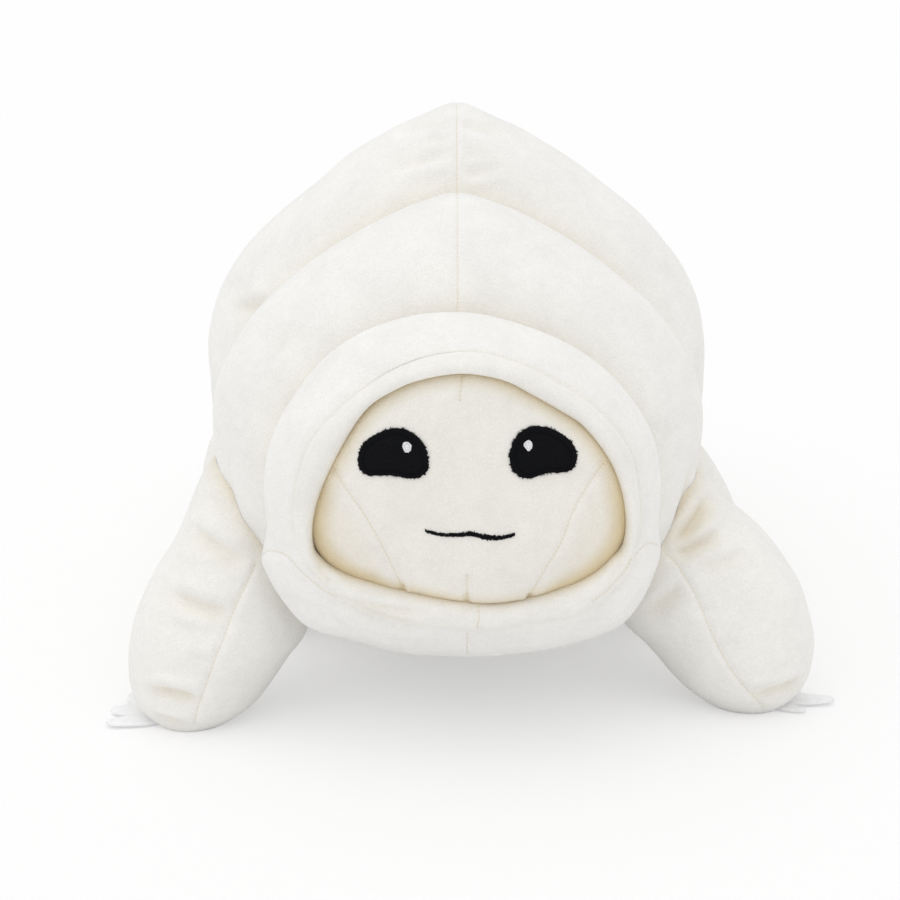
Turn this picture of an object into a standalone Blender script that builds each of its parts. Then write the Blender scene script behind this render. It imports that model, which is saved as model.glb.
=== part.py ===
"""Stuffed plush tardigrade: a hood with the head set in it, four body rings, eight legs, felt claws.

Metres, +Z up. The animal faces -Y, its own left side is +X, and the origin is on the floor, on the
middle plane, where the waist ring's belly rests. A station is a distance back from the hood's rim.
"""

import math
from collections import namedtuple

import bmesh
import bpy
from mathutils import Vector

# Overall build
CLEARANCE = 0.0003            # gap between two sewn pieces that touch
SECTION_POINTS = 44           # points round a body section, a multiple of four
ROW_COUNT = 10                # rows of points along a body ring
LOBE_POWER = 0.72             # under 1 makes a ring swell quickly out of its crease
PEAK_WIDTH_POWER = 1.25       # section exponents where the back seam pulls the cloth to a ridge
PEAK_HEIGHT_POWER = 1.95
BELLY_POWER = 2.2             # section exponent below the widest line
CHIN_POWER = 2.7              # the same for the hood, whose underside is flatter
WIDEST_SHARE = 0.52           # height of the widest line, as a share of a section's height
CREASE_DEPTH_TOP = 0.019      # how far a crease between two rings lies below the lower ring
CREASE_DEPTH_SIDE = 0.013
CREASE_DEPTH_BELLY = 0.004

# Hood, a sewn tube whose front edge is rolled back
HOOD_LENGTH = 0.052
HOOD_HALF_WIDTH = 0.0940
HOOD_TOP = 0.2150
HOOD_BOTTOM = 0.0425
HOOD_RIDGE_STATION = 0.040    # the sharp outer fold
HOOD_SHIFT = 0.0017           # the hood sits a little to the animal's left
NECK_DEPTH_TOP = 0.012        # the crease behind the hood
NECK_DEPTH_SIDE = 0.009
NECK_DEPTH_BELLY = 0.003

# Opening of the hood and its rolled rim
FACE_SHIFT = 0.0060
OPENING_HALF_WIDTH = 0.0715
OPENING_TOP = 0.1974
OPENING_BOTTOM = 0.0852
OPENING_WIDEST_SHARE = 0.27   # the opening is widest low down, at the cheeks
OPENING_POWER = 2.0
OPENING_LOW_POWER = 2.0
RIM_WIDTH = 0.0085
RIM_WIDTH_BOTTOM = 0.0165
RIM_DEPTH = 0.005             # how far the rim rolls back on its outer side
POCKET_SWELL = 0.003          # how much wider than its opening the hood is inside
POCKET_STATION = 0.020        # where the head is widest

# Head, a stuffed ball held by the hood
FACE_FRONT_STATION = -0.006
FACE_POWER = 2.3

# Body rings, from front to back
SHOULDER_LENGTH = 0.103
SHOULDER_HALF_WIDTH = 0.1230
SHOULDER_TOP = 0.2600
SHOULDER_BOTTOM = 0.0240
WAIST_LENGTH = 0.110
WAIST_HALF_WIDTH = 0.1360
WAIST_TOP = 0.2870
HIP_LENGTH = 0.108
HIP_HALF_WIDTH = 0.1300
HIP_TOP = 0.2620
TAIL_LENGTH = 0.088
TAIL_HALF_WIDTH = 0.1060
TAIL_TOP = 0.2120
TAIL_BOTTOM = 0.0120
TAIL_CREST_SHARE = 0.34       # where along the tail end it is widest
TAIL_POWER = 2.2
BELLY_PRESS = 0.007           # how far the waist and hip would sink below the floor

# Legs
LEG_POINTS = 18
LEG_ROOT_SHARE = 0.62         # radius at the shoulder, as a share of the leg's radius
LEG_SWELL_SHARE = 0.66        # where along the leg it reaches its full radius
LEG_ROUND_SHARE = 0.66        # where along the leg the foot starts to close
LEG_DOME_SHARE = 0.14         # the domed part inside the body
LEG_DEPTH_SHARE = 0.94        # front-to-back radius over side-to-side radius
FOOT_PRESS = 0.0045           # how far the foot would sink below the floor
FRONT_LEG_RADIUS = 0.0425
MIDDLE_LEG_RADIUS = 0.0360
TAIL_LEG_RADIUS = 0.0340
FOLD_DEPTH = 0.0016           # soft folds across the outer side of a leg
FOLD_WIDTH_SHARE = 0.032      # half the width of a fold, as a share of the leg's length

# Felt claws
CLAW_THICKNESS = 0.0028
CLAW_HALF_WIDTH = 0.0043
CLAW_TIP_SHARE = 0.62         # half-width just before the rounded tip, as a share of the widest
CLAW_SPREAD = 24.0            # degrees between two claws of one foot
CLAW_OFFSET = 0.001           # the claws fan out from a point this far outside the foot's middle
CLAW_REACH = 0.042            # from that point to a claw's tip
CLAW_ROOT = 0.008             # from that point to a claw's sewn end

# Embroidery on the face
THREAD_THICKNESS = 0.0012
EYE_SHIFT = 0.0047            # middle between the eyes, to the animal's left
EYE_SPACING = 0.0685
EYE_WIDTH = 0.0314
EYE_HEIGHT = 0.0228
EYE_HEIGHT_ABOVE_FLOOR = 0.1560
EYE_LEAN = 0.0024             # the eye's crown leans this far towards the nose
EYE_DROP = 0.0012             # the inner corner hangs this far lower than the outer one
GLINT_RADIUS = 0.0024
GLINT_OFFSET = 0.0066         # from the eye's middle towards the nose
GLINT_RISE = 0.0040
MOUTH_WIDTH = 0.0405
MOUTH_HALF_THICKNESS = 0.0014
MOUTH_HEIGHT_ABOVE_FLOOR = 0.1222
MOUTH_WAVE = 0.0010
MOUTH_SLOPE = 0.0011

ORIGIN_STATION = HOOD_LENGTH + SHOULDER_LENGTH + WAIST_LENGTH / 2
BELLY_BOTTOM = -BELLY_PRESS

Section = namedtuple("Section", "shift half_width top bottom peak widest power low_power")


def body_section(half_width, top, bottom, peak, shift=0.0):
    """A body section: round below, drawn to a ridge on top by the given share of peak."""
    return Section(shift, half_width, top, bottom, peak, WIDEST_SHARE, 2.0, BELLY_POWER)


def face_section(grow):
    """The hood's opening, grown outwards all round."""
    return Section(
        FACE_SHIFT,
        OPENING_HALF_WIDTH + grow,
        OPENING_TOP + grow,
        OPENING_BOTTOM - grow,
        0.0,
        OPENING_WIDEST_SHARE,
        OPENING_POWER,
        OPENING_LOW_POWER,
    )


def mixed(first, second, share):
    """The section that lies the given share of the way from first to second."""
    return Section(*(a + (b - a) * share for a, b in zip(first, second)))


def scaled(section, share):
    """The section shrunk towards the middle of its widest line."""
    middle = section.bottom + section.widest * (section.top - section.bottom)
    return section._replace(
        half_width=section.half_width * share,
        top=middle + (section.top - middle) * share,
        bottom=middle + (section.bottom - middle) * share,
    )


def outline(section, count=SECTION_POINTS):
    """Points (x, z) round a section, anticlockwise from its left-hand end as the animal sees it."""
    middle = section.bottom + section.widest * (section.top - section.bottom)
    wide_power = section.power + (PEAK_WIDTH_POWER - section.power) * section.peak
    high_power = section.power + (PEAK_HEIGHT_POWER - section.power) * section.peak
    points = []
    for k in range(count):
        turn = 2 * math.pi * k / count
        across, up = math.cos(turn), math.sin(turn)
        upper = up >= 0
        wide = 2 / (wide_power if upper else section.low_power)
        high = 2 / (high_power if upper else section.low_power)
        reach = section.top - middle if upper else middle - section.bottom
        x = section.shift + math.copysign(section.half_width * abs(across) ** wide, across)
        z = middle + math.copysign(reach * abs(up) ** high, up)
        points.append((x, max(z, 0.0)))
    return points


def loop_at(section, station):
    """The section's points in space, at a station."""
    return [Vector((x, station - ORIGIN_STATION, z)) for x, z in outline(section)]


def object_from(name, build, material, origin):
    """An object with its own origin, whose faces the function build makes in world coordinates."""
    mesh = bpy.data.meshes.new(name)
    shape = bmesh.new()
    build(shape)
    bmesh.ops.recalc_face_normals(shape, faces=shape.faces)
    bmesh.ops.translate(shape, verts=shape.verts, vec=-Vector(origin))
    shape.to_mesh(mesh)
    shape.free()
    mesh.shade_smooth()
    mesh.set_sharp_from_angle(angle=math.radians(50))
    made = bpy.data.objects.new(name, mesh)
    made.location = origin
    bpy.context.scene.collection.objects.link(made)
    if material is not None:
        mesh.materials.append(material)
        made.parent = bpy.data.objects["tardigrade"]
    return made


def loft(shape, loops, start_pole=None, end_pole=None):
    """A skin over closed loops of equal count, each end closed by a flat face or drawn to a pole."""
    rows = [[shape.verts.new(point) for point in loop] for loop in loops]
    count = len(rows[0])
    for near, far in zip(rows, rows[1:]):
        for k in range(count):
            after = (k + 1) % count
            shape.faces.new((near[k], near[after], far[after], far[k]))
    for row, pole in ((rows[0], start_pole), (rows[-1], end_pole)):
        if pole is None:
            shape.faces.new(row)
            continue
        tip = shape.verts.new(pole)
        for k in range(count):
            shape.faces.new((row[k], row[(k + 1) % count], tip))


def grown_copy(source, gap):
    """A hidden cutter: the source's own mesh, moved outwards by the gap along its normals."""
    cutter = bpy.data.objects.new(source.name + "_cutter", source.data.copy())
    cutter.location = source.location
    bpy.context.scene.collection.objects.link(cutter)
    shape = bmesh.new()
    shape.from_mesh(cutter.data)
    shape.normal_update()
    spread = [gap * min(vert.calc_shell_factor(), 1.5) for vert in shape.verts]
    moved = [vert.co + vert.normal * step for vert, step in zip(shape.verts, spread)]
    for vert, place in zip(shape.verts, moved):
        vert.co = place
    shape.to_mesh(cutter.data)
    shape.free()
    cutter.hide_render = True
    cutter.display_type = "WIRE"
    return cutter


def cut(target, cutter):
    """Takes the cutter's space out of the target."""
    modifier = target.modifiers.new("clear_of_" + cutter.name, "BOOLEAN")
    modifier.operation = "DIFFERENCE"
    modifier.solver = "EXACT"
    modifier.object = cutter


def material(name, colour, roughness):
    """A cloth, felt or thread finish."""
    made = bpy.data.materials.new(name)
    made.use_nodes = True
    shader = made.node_tree.nodes["Principled BSDF"]
    shader.inputs["Base Color"].default_value = (*colour, 1.0)
    shader.inputs["Roughness"].default_value = roughness
    shader.inputs["Metallic"].default_value = 0.0
    return made


# Body

def crease(front, rear):
    """The tight section where two rings are sewn together."""
    return body_section(
        min(front.half_width, rear.half_width) - CREASE_DEPTH_SIDE,
        min(front.top, rear.top) - CREASE_DEPTH_TOP,
        max(front.bottom, rear.bottom) + CREASE_DEPTH_BELLY,
        0.6,
    )


def row_shares():
    """Shares of a ring's length, closer together near the creases where it curves most."""
    return [(1 - math.cos(math.pi * k / ROW_COUNT)) / 2 for k in range(ROW_COUNT + 1)]


def lobe(share):
    """How far a ring has swollen, from 0 in its crease to 1 at its crest."""
    return math.sin(math.pi / 2 * share) ** LOBE_POWER if share > 0 else 0.0


def ring_loops(front, crest, rear, start, length):
    """Loops of one body ring between two creases, with its crest halfway."""
    loops = []
    for share in row_shares():
        ahead = share <= 0.5
        swell = lobe(2 * share if ahead else 2 * (1 - share))
        swollen = mixed(front if ahead else rear, crest, swell)
        loops.append(loop_at(swollen, start + share * length))
    return loops


def make_ring(name, front, crest, rear, start, length, cloth):
    """A ring with a flat face at each crease, half a clearance short of the seam."""
    begin = start + CLEARANCE / 2
    loops = ring_loops(front, crest, rear, begin, length - CLEARANCE)
    centre = (0.0, start + length / 2 - ORIGIN_STATION, (crest.top + crest.bottom) / 2)
    return object_from(name, lambda shape: loft(shape, loops), cloth, centre)


def make_tail(front, crest, start, cloth):
    """The last ring, which rounds off to a closed end."""
    begin = start + CLEARANCE / 2
    length = TAIL_LENGTH - CLEARANCE / 2
    loops = []
    for share in row_shares()[:-1]:
        if share < TAIL_CREST_SHARE:
            section = mixed(front, crest, lobe(share / TAIL_CREST_SHARE))
        else:
            past = (share - TAIL_CREST_SHARE) / (1 - TAIL_CREST_SHARE)
            section = scaled(crest, (1 - past**TAIL_POWER) ** (1 / TAIL_POWER))
        loops.append(loop_at(section, begin + share * length))
    middle = crest.bottom + crest.widest * (crest.top - crest.bottom)
    pole = Vector((0.0, begin + length - ORIGIN_STATION, middle))
    centre = (0.0, start + length / 2 - ORIGIN_STATION, middle)
    return object_from("tail_end", lambda shape: loft(shape, loops, end_pole=pole), cloth, centre)


# Hood and head

def hood_rows(neck):
    """(section, station) down the outside of the hood, round its rim and back inside the pocket."""
    back = HOOD_LENGTH - CLEARANCE / 2
    ridge = body_section(HOOD_HALF_WIDTH, HOOD_TOP, HOOD_BOTTOM, 0.0, HOOD_SHIFT)
    ridge = ridge._replace(low_power=CHIN_POWER)
    rim_bottom = OPENING_BOTTOM - RIM_WIDTH_BOTTOM
    rim_outer = face_section(RIM_WIDTH)._replace(bottom=rim_bottom, low_power=CHIN_POWER)
    rim_front = mixed(face_section(0.0), rim_outer, 0.5)
    opening = face_section(0.0)
    behind = (HOOD_RIDGE_STATION + back) / 2
    return [
        (neck, back),
        (mixed(neck, ridge, 0.70), behind + (back - behind) * 0.35),
        (mixed(neck, ridge, 0.97), (behind + HOOD_RIDGE_STATION) / 2),
        (ridge, HOOD_RIDGE_STATION),
        (mixed(rim_outer, ridge, 0.84), RIM_DEPTH + (HOOD_RIDGE_STATION - RIM_DEPTH) * 0.80),
        (mixed(rim_outer, ridge, 0.48), RIM_DEPTH + (HOOD_RIDGE_STATION - RIM_DEPTH) * 0.42),
        (mixed(rim_outer, ridge, 0.15), RIM_DEPTH + (HOOD_RIDGE_STATION - RIM_DEPTH) * 0.12),
        (mixed(rim_front, rim_outer, 0.85), RIM_DEPTH * 0.45),
        (mixed(rim_front, rim_outer, 0.30), 0.0),
        (mixed(opening, rim_front, 0.45), 0.0),
        (opening, RIM_DEPTH * 0.7),
        (face_section(POCKET_SWELL), RIM_DEPTH * 1.9),
        (face_section(POCKET_SWELL), back),
    ]


def make_hood(neck, cloth):
    """The hood: a tube closed at the back by the flat ring that is sewn to the shoulder ring."""

    def build(shape):
        loops = [loop_at(section, station) for section, station in hood_rows(neck)]
        rows = [[shape.verts.new(point) for point in loop] for loop in loops]
        for near, far in zip(rows, rows[1:] + rows[:1]):
            for k in range(SECTION_POINTS):
                after = (k + 1) % SECTION_POINTS
                shape.faces.new((near[k], near[after], far[after], far[k]))

    centre = (HOOD_SHIFT, -ORIGIN_STATION + HOOD_LENGTH / 2, (HOOD_TOP + HOOD_BOTTOM) / 2)
    return object_from("hood", build, cloth, centre)


def head_section():
    """The head where the pocket is widest, a clearance inside it."""
    return face_section(POCKET_SWELL - CLEARANCE)


def face_station(x, z):
    """The station of the front of the face, above a point (x, z) of the animal's front view."""
    widest = head_section()
    middle = widest.bottom + widest.widest * (widest.top - widest.bottom)
    across = abs(x - widest.shift) / widest.half_width
    reach = widest.top - middle if z > middle else middle - widest.bottom
    power = OPENING_POWER if z > middle else OPENING_LOW_POWER
    share = min((across**power + (abs(z - middle) / reach) ** power) ** (1 / power), 1.0)
    depth = POCKET_STATION - FACE_FRONT_STATION
    return POCKET_STATION - depth * (1 - share**FACE_POWER) ** (1 / FACE_POWER)


def make_head(cloth):
    """The head: a domed face in front, and a body that fills the hood's pocket to its flat back."""
    widest = head_section()
    middle = widest.bottom + widest.widest * (widest.top - widest.bottom)
    depth = POCKET_STATION - FACE_FRONT_STATION
    loops = []
    for share in (0.22, 0.44, 0.62, 0.77, 0.88, 0.95, 0.985):
        station = POCKET_STATION - depth * (1 - share**FACE_POWER) ** (1 / FACE_POWER)
        loops.append(loop_at(scaled(widest, share), station))
    back = HOOD_LENGTH - CLEARANCE / 2
    loops.append(loop_at(widest, POCKET_STATION))
    loops.append(loop_at(widest, back))
    pole = Vector((FACE_SHIFT, FACE_FRONT_STATION - ORIGIN_STATION, middle))
    centre = (FACE_SHIFT, -ORIGIN_STATION + POCKET_STATION, middle)
    return object_from("head", lambda shape: loft(shape, loops, start_pole=pole), cloth, centre)


def on_face(x, z, lift):
    """A point lifted off the face towards the front."""
    return Vector((x, face_station(x, z) - lift - ORIGIN_STATION, z))


def make_patch(name, centre, rim, thread, lift=CLEARANCE):
    """A flat patch of embroidery that follows the face. rim holds its outline about the centre."""
    cx, cz = centre

    def build(shape):
        inner_shares = (0.93, 0.55)
        front = lift + THREAD_THICKNESS
        loops = [[on_face(cx + x * s, cz + z * s, lift) for x, z in rim] for s in inner_shares[::-1]]
        loops.append([on_face(cx + x, cz + z, lift) for x, z in rim])
        loops.append([on_face(cx + x, cz + z, lift + THREAD_THICKNESS * 0.6) for x, z in rim])
        loops += [[on_face(cx + x * s, cz + z * s, front) for x, z in rim] for s in inner_shares]
        loft(shape, loops, on_face(cx, cz, lift), on_face(cx, cz, front))

    return object_from(name, build, thread, on_face(cx, cz, lift))


def eye_outline(side, count=24):
    """A domed bean about the eye's middle, flat below. side is the sign of x of this eye."""
    upper = EYE_HEIGHT * 0.66
    lower = EYE_HEIGHT - upper
    points = []
    for k in range(count):
        turn = 2 * math.pi * k / count
        across, up = math.cos(turn), math.sin(turn)
        lean = -side * EYE_LEAN * max(up, 0.0)
        dent = EYE_HEIGHT * 0.05 * (1 - abs(across)) if up < 0 else 0.0
        x = EYE_WIDTH / 2 * math.copysign(abs(across) ** 0.9, across) + lean
        z = upper * up if up >= 0 else -lower * abs(up) ** 0.8 + dent
        z += side * EYE_DROP * across * (1.0 if up < 0 else 1.0 - up)
        points.append((x, z))
    return points


def make_face_embroidery(black, white):
    """Two eyes, the glint in each, and the mouth."""
    turns = [math.pi * k / 5 for k in range(10)]
    disc = [(GLINT_RADIUS * math.cos(turn), GLINT_RADIUS * math.sin(turn)) for turn in turns]
    for side, label in ((1, "left"), (-1, "right")):
        centre = (EYE_SHIFT + side * EYE_SPACING / 2, EYE_HEIGHT_ABOVE_FLOOR)
        make_patch(label + "_eye", centre, eye_outline(side), black)
        shine = (centre[0] - side * GLINT_OFFSET, centre[1] + GLINT_RISE)
        make_patch(label + "_eye_glint", shine, disc, white, 2 * CLEARANCE + THREAD_THICKNESS)
    make_mouth(black)


def make_mouth(thread, steps=16):
    """A wavy satin-stitched line with tapered ends."""

    def build(shape):
        rows = []
        for k in range(steps + 1):
            along = 2 * k / steps - 1
            x = FACE_SHIFT + MOUTH_WIDTH / 2 * along
            wave = MOUTH_WAVE * math.cos(2 * math.pi * along * 0.9)
            z = MOUTH_HEIGHT_ABOVE_FLOOR + wave - MOUTH_SLOPE * along
            half = MOUTH_HALF_THICKNESS * (0.45 + 0.55 * (1 - along**4))
            front = CLEARANCE + THREAD_THICKNESS
            rows.append([
                on_face(x, z - half, CLEARANCE),
                on_face(x, z - half, front - THREAD_THICKNESS * 0.4),
                on_face(x, z, front),
                on_face(x, z + half, front - THREAD_THICKNESS * 0.4),
                on_face(x, z + half, CLEARANCE),
            ])
        loft(shape, rows)

    centre = on_face(FACE_SHIFT, MOUTH_HEIGHT_ABOVE_FLOOR, CLEARANCE)
    return object_from("mouth", build, thread, centre)


# Legs and claws

Leg = namedtuple("Leg", "name side root_x root_station root_z knee_x knee_z foot_x foot_station"
                        " radius rows folds fan reach touches")


def leg_radius(leg, share):
    """Radius at a share of the leg's length: swelling from the shoulder, closing at the foot."""
    swell = math.sin(math.pi / 2 * min(share / LEG_SWELL_SHARE, 1.0))
    radius = leg.radius * (LEG_ROOT_SHARE + (1 - LEG_ROOT_SHARE) * swell)
    if share > LEG_ROUND_SHARE:
        past = (share - LEG_ROUND_SHARE) / (1 - LEG_ROUND_SHARE)
        radius *= math.sqrt(max(1 - past**2, 0.0))
    if share < LEG_DOME_SHARE:
        radius *= math.sqrt(max(1 - (1 - share / LEG_DOME_SHARE) ** 2, 0.0))
    return radius


def leg_point(leg, share):
    """A point of the leg's centreline: one smooth bend from root to foot."""
    root = Vector((leg.side * leg.root_x, leg.root_station - ORIGIN_STATION, leg.root_z))
    foot = Vector((leg.side * leg.foot_x, leg.foot_station - ORIGIN_STATION, -FOOT_PRESS))
    knee = Vector((leg.side * leg.knee_x, (root.y + foot.y) / 2, leg.knee_z))
    return root * (1 - share) ** 2 + knee * 2 * share * (1 - share) + foot * share**2


def leg_shares(leg):
    """Rows along the leg, with three to each fold."""
    rows = {k / leg.rows for k in range(1, leg.rows)} | {0.03, 0.955, 0.985}
    for fold in leg.folds:
        rows = {row for row in rows if abs(row - fold) > FOLD_WIDTH_SHARE * 1.3}
        rows |= {fold - FOLD_WIDTH_SHARE, fold, fold + FOLD_WIDTH_SHARE}
    return sorted(rows)


def leg_loops(leg):
    """Loops round the leg, flattened where the foot rests on the floor."""
    loops = []
    for share in leg_shares(leg):
        centre = leg_point(leg, share)
        along = (leg_point(leg, share + 0.01) - leg_point(leg, share - 0.01)).normalized()
        back = Vector((0, 1, 0))
        back = (back - along * back.dot(along)).normalized()
        out = back.cross(along) * leg.side
        out = out if out.x * leg.side > 0 else -out
        radius = leg_radius(leg, share)
        dip = FOLD_DEPTH if any(abs(share - fold) < 1e-6 for fold in leg.folds) else 0.0
        loop = []
        for k in range(LEG_POINTS):
            turn = 2 * math.pi * k / LEG_POINTS
            outward = math.cos(turn)
            reach = radius - dip * max(outward, 0.0)
            offset = out * reach * outward + back * reach * LEG_DEPTH_SHARE * math.sin(turn)
            point = centre + offset
            loop.append(Vector((point.x, point.y, max(point.z, 0.0))))
        loops.append(loop)
    return loops


def make_leg(leg, cloth, cutters):
    """One leg, shaped at its root to the rings it is sewn to. Gives back its uncut outer form."""
    loops = leg_loops(leg)
    tip = leg_point(leg, 1.0)
    pole = Vector((tip.x, tip.y, 0.0))
    root = leg_point(leg, 0.0)
    made = object_from(leg.name, lambda shape: loft(shape, loops, root, pole), cloth, root)
    whole = grown_copy(made, CLEARANCE)
    for ring in leg.touches:
        cut(made, cutters[ring])
    return whole


def claw_outline(reach):
    """(distance, half-width) along a claw, kept clear of its neighbours, from root to rounded tip."""
    tip = CLAW_HALF_WIDTH * CLAW_TIP_SHARE
    room = math.sin(math.radians(CLAW_SPREAD / 2))
    rows = []
    for share in (0.0, 0.3, 0.6, 1.0):
        distance = CLAW_ROOT + (reach - tip - CLAW_ROOT) * share
        wide = CLAW_HALF_WIDTH - (CLAW_HALF_WIDTH - tip) * max(share - 0.3, 0.0) / 0.7
        rows.append((distance, min(wide, distance * room - CLEARANCE)))
    for turn in (40, 70):
        ahead = reach - tip * (1 - math.sin(math.radians(turn)))
        rows.append((ahead, tip * math.cos(math.radians(turn))))
    return rows


def make_claws(leg, whole_leg, felt):
    """Three flat felt claws that fan out from under the foot, the first one nearest the head."""
    for number, reach in enumerate(leg.reach):
        turn = math.radians(leg.fan + (number - 1) * CLAW_SPREAD)
        ahead = Vector((leg.side * math.cos(turn), math.sin(turn), 0.0))
        beside = Vector((-ahead.y, ahead.x, 0.0))
        fan = math.radians(leg.fan)
        foot = Vector((leg.side * leg.foot_x, leg.foot_station - ORIGIN_STATION, 0.0))
        start = foot + CLAW_OFFSET * Vector((leg.side * math.cos(fan), math.sin(fan), 0.0))
        loops = []
        for distance, half in claw_outline(reach):
            middle = start + ahead * distance
            high = Vector((0.0, 0.0, CLAW_THICKNESS))
            near, far = middle - beside * half, middle + beside * half
            loops.append([near, far, far + high, near + high])
        name = f"{leg.name}_claw_{number + 1}"
        origin = start + ahead * CLAW_ROOT
        claw = object_from(name, lambda shape, rows=loops: loft(shape, rows), felt, origin)
        cut(claw, whole_leg)


def legs():
    """The eight legs. Left and right are the animal's own, so its left side is +X."""
    shoulder = HOOD_LENGTH + SHOULDER_LENGTH / 2
    waist = HOOD_LENGTH + SHOULDER_LENGTH + WAIST_LENGTH / 2
    hip = HOOD_LENGTH + SHOULDER_LENGTH + WAIST_LENGTH + HIP_LENGTH / 2
    tail = HOOD_LENGTH + SHOULDER_LENGTH + WAIST_LENGTH + HIP_LENGTH + TAIL_LENGTH / 2
    even = (CLAW_REACH - 0.003, CLAW_REACH, CLAW_REACH - 0.003)
    left, right = (CLAW_REACH - 0.014, CLAW_REACH, CLAW_REACH - 0.013), (CLAW_REACH,) * 3
    front = ("hood", "shoulder_ring", "waist_ring")
    second = ("shoulder_ring", "waist_ring")
    third = ("waist_ring", "hip_ring")
    last = ("hip_ring", "tail_end")
    return [
        Leg("front_left_leg", 1, 0.070, shoulder + 0.002, 0.110, 0.136, 0.071, 0.150,
            shoulder - 0.0265, FRONT_LEG_RADIUS, 10, (0.40, 0.50, 0.82), 0.0, left, front),
        Leg("front_right_leg", -1, 0.080, shoulder - 0.006, 0.140, 0.1175, 0.056, 0.133,
            shoulder - 0.0455, FRONT_LEG_RADIUS, 10, (0.39, 0.50, 0.82), 12.0, right, front),
        Leg("second_left_leg", 1, 0.084, waist - 0.006, 0.126, 0.128, 0.078, 0.136,
            waist - 0.014, MIDDLE_LEG_RADIUS, 8, (), 8.0, even, second),
        Leg("second_right_leg", -1, 0.076, waist - 0.006, 0.120, 0.100, 0.060, 0.110,
            waist - 0.022, MIDDLE_LEG_RADIUS, 8, (), 8.0, even, second),
        Leg("third_left_leg", 1, 0.080, hip, 0.120, 0.118, 0.070, 0.128,
            hip + 0.004, MIDDLE_LEG_RADIUS, 8, (), 10.0, even, third),
        Leg("third_right_leg", -1, 0.080, hip, 0.120, 0.118, 0.070, 0.128,
            hip + 0.004, MIDDLE_LEG_RADIUS, 8, (), 10.0, even, third),
        Leg("tail_left_leg", 1, 0.048, tail - 0.014, 0.098, 0.076, 0.060, 0.082,
            tail + 0.034, TAIL_LEG_RADIUS, 8, (), 60.0, even, last),
        Leg("tail_right_leg", -1, 0.048, tail - 0.014, 0.098, 0.076, 0.060, 0.082,
            tail + 0.034, TAIL_LEG_RADIUS, 8, (), 60.0, even, last),
    ]


def main():
    for old in list(bpy.data.objects):
        bpy.data.objects.remove(old)
    root = bpy.data.objects.new("tardigrade", None)
    bpy.context.scene.collection.objects.link(root)

    cloth = material("cream_minky", (0.905, 0.875, 0.800), 0.95)
    black = material("black_thread", (0.008, 0.009, 0.012), 0.75)
    white = material("white_thread", (0.80, 0.81, 0.86), 0.70)
    felt = material("white_felt", (0.78, 0.775, 0.79), 0.98)

    hood_ridge = body_section(HOOD_HALF_WIDTH, HOOD_TOP, HOOD_BOTTOM, 0.0, HOOD_SHIFT)
    neck = body_section(
        HOOD_HALF_WIDTH - NECK_DEPTH_SIDE,
        HOOD_TOP - NECK_DEPTH_TOP,
        HOOD_BOTTOM + NECK_DEPTH_BELLY,
        0.1,
        hood_ridge.shift,
    )
    shoulder = body_section(SHOULDER_HALF_WIDTH, SHOULDER_TOP, SHOULDER_BOTTOM, 1.0)
    waist = body_section(WAIST_HALF_WIDTH, WAIST_TOP, BELLY_BOTTOM, 1.0)
    hip = body_section(HIP_HALF_WIDTH, HIP_TOP, BELLY_BOTTOM, 0.9)
    tail = body_section(TAIL_HALF_WIDTH, TAIL_TOP, TAIL_BOTTOM, 0.7)
    chest_crease = crease(shoulder, waist)._replace(bottom=(SHOULDER_BOTTOM + BELLY_BOTTOM) / 2)
    waist_crease = crease(waist, hip)
    tail_crease = crease(hip, tail)._replace(bottom=TAIL_BOTTOM / 2)

    station = HOOD_LENGTH
    parts = {"hood": make_hood(neck, cloth)}
    parts["shoulder_ring"] = make_ring(
        "shoulder_ring", neck, shoulder, chest_crease, station, SHOULDER_LENGTH, cloth)
    station += SHOULDER_LENGTH
    parts["waist_ring"] = make_ring(
        "waist_ring", chest_crease, waist, waist_crease, station, WAIST_LENGTH, cloth)
    station += WAIST_LENGTH
    parts["hip_ring"] = make_ring(
        "hip_ring", waist_crease, hip, tail_crease, station, HIP_LENGTH, cloth)
    station += HIP_LENGTH
    parts["tail_end"] = make_tail(tail_crease, tail, station, cloth)

    make_head(cloth)
    make_face_embroidery(black, white)
    cutters = {name: grown_copy(part, CLEARANCE) for name, part in parts.items()}
    for leg in legs():
        whole_leg = make_leg(leg, cloth, cutters)
        make_claws(leg, whole_leg, felt)


main()
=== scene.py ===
"""Looks of a stuffed plush tardigrade: short-pile covers with their seams and folds, embroidery and felt claws.

Each stuffed piece is a closed surface, worked out in rows of points within its solid's box in the frame. Lumps
of filling, folds and seams are then pressed into it along its normals. Places on the front are written as
pixels of the 900 x 900 photograph.
"""

import math
from collections import namedtuple

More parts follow.
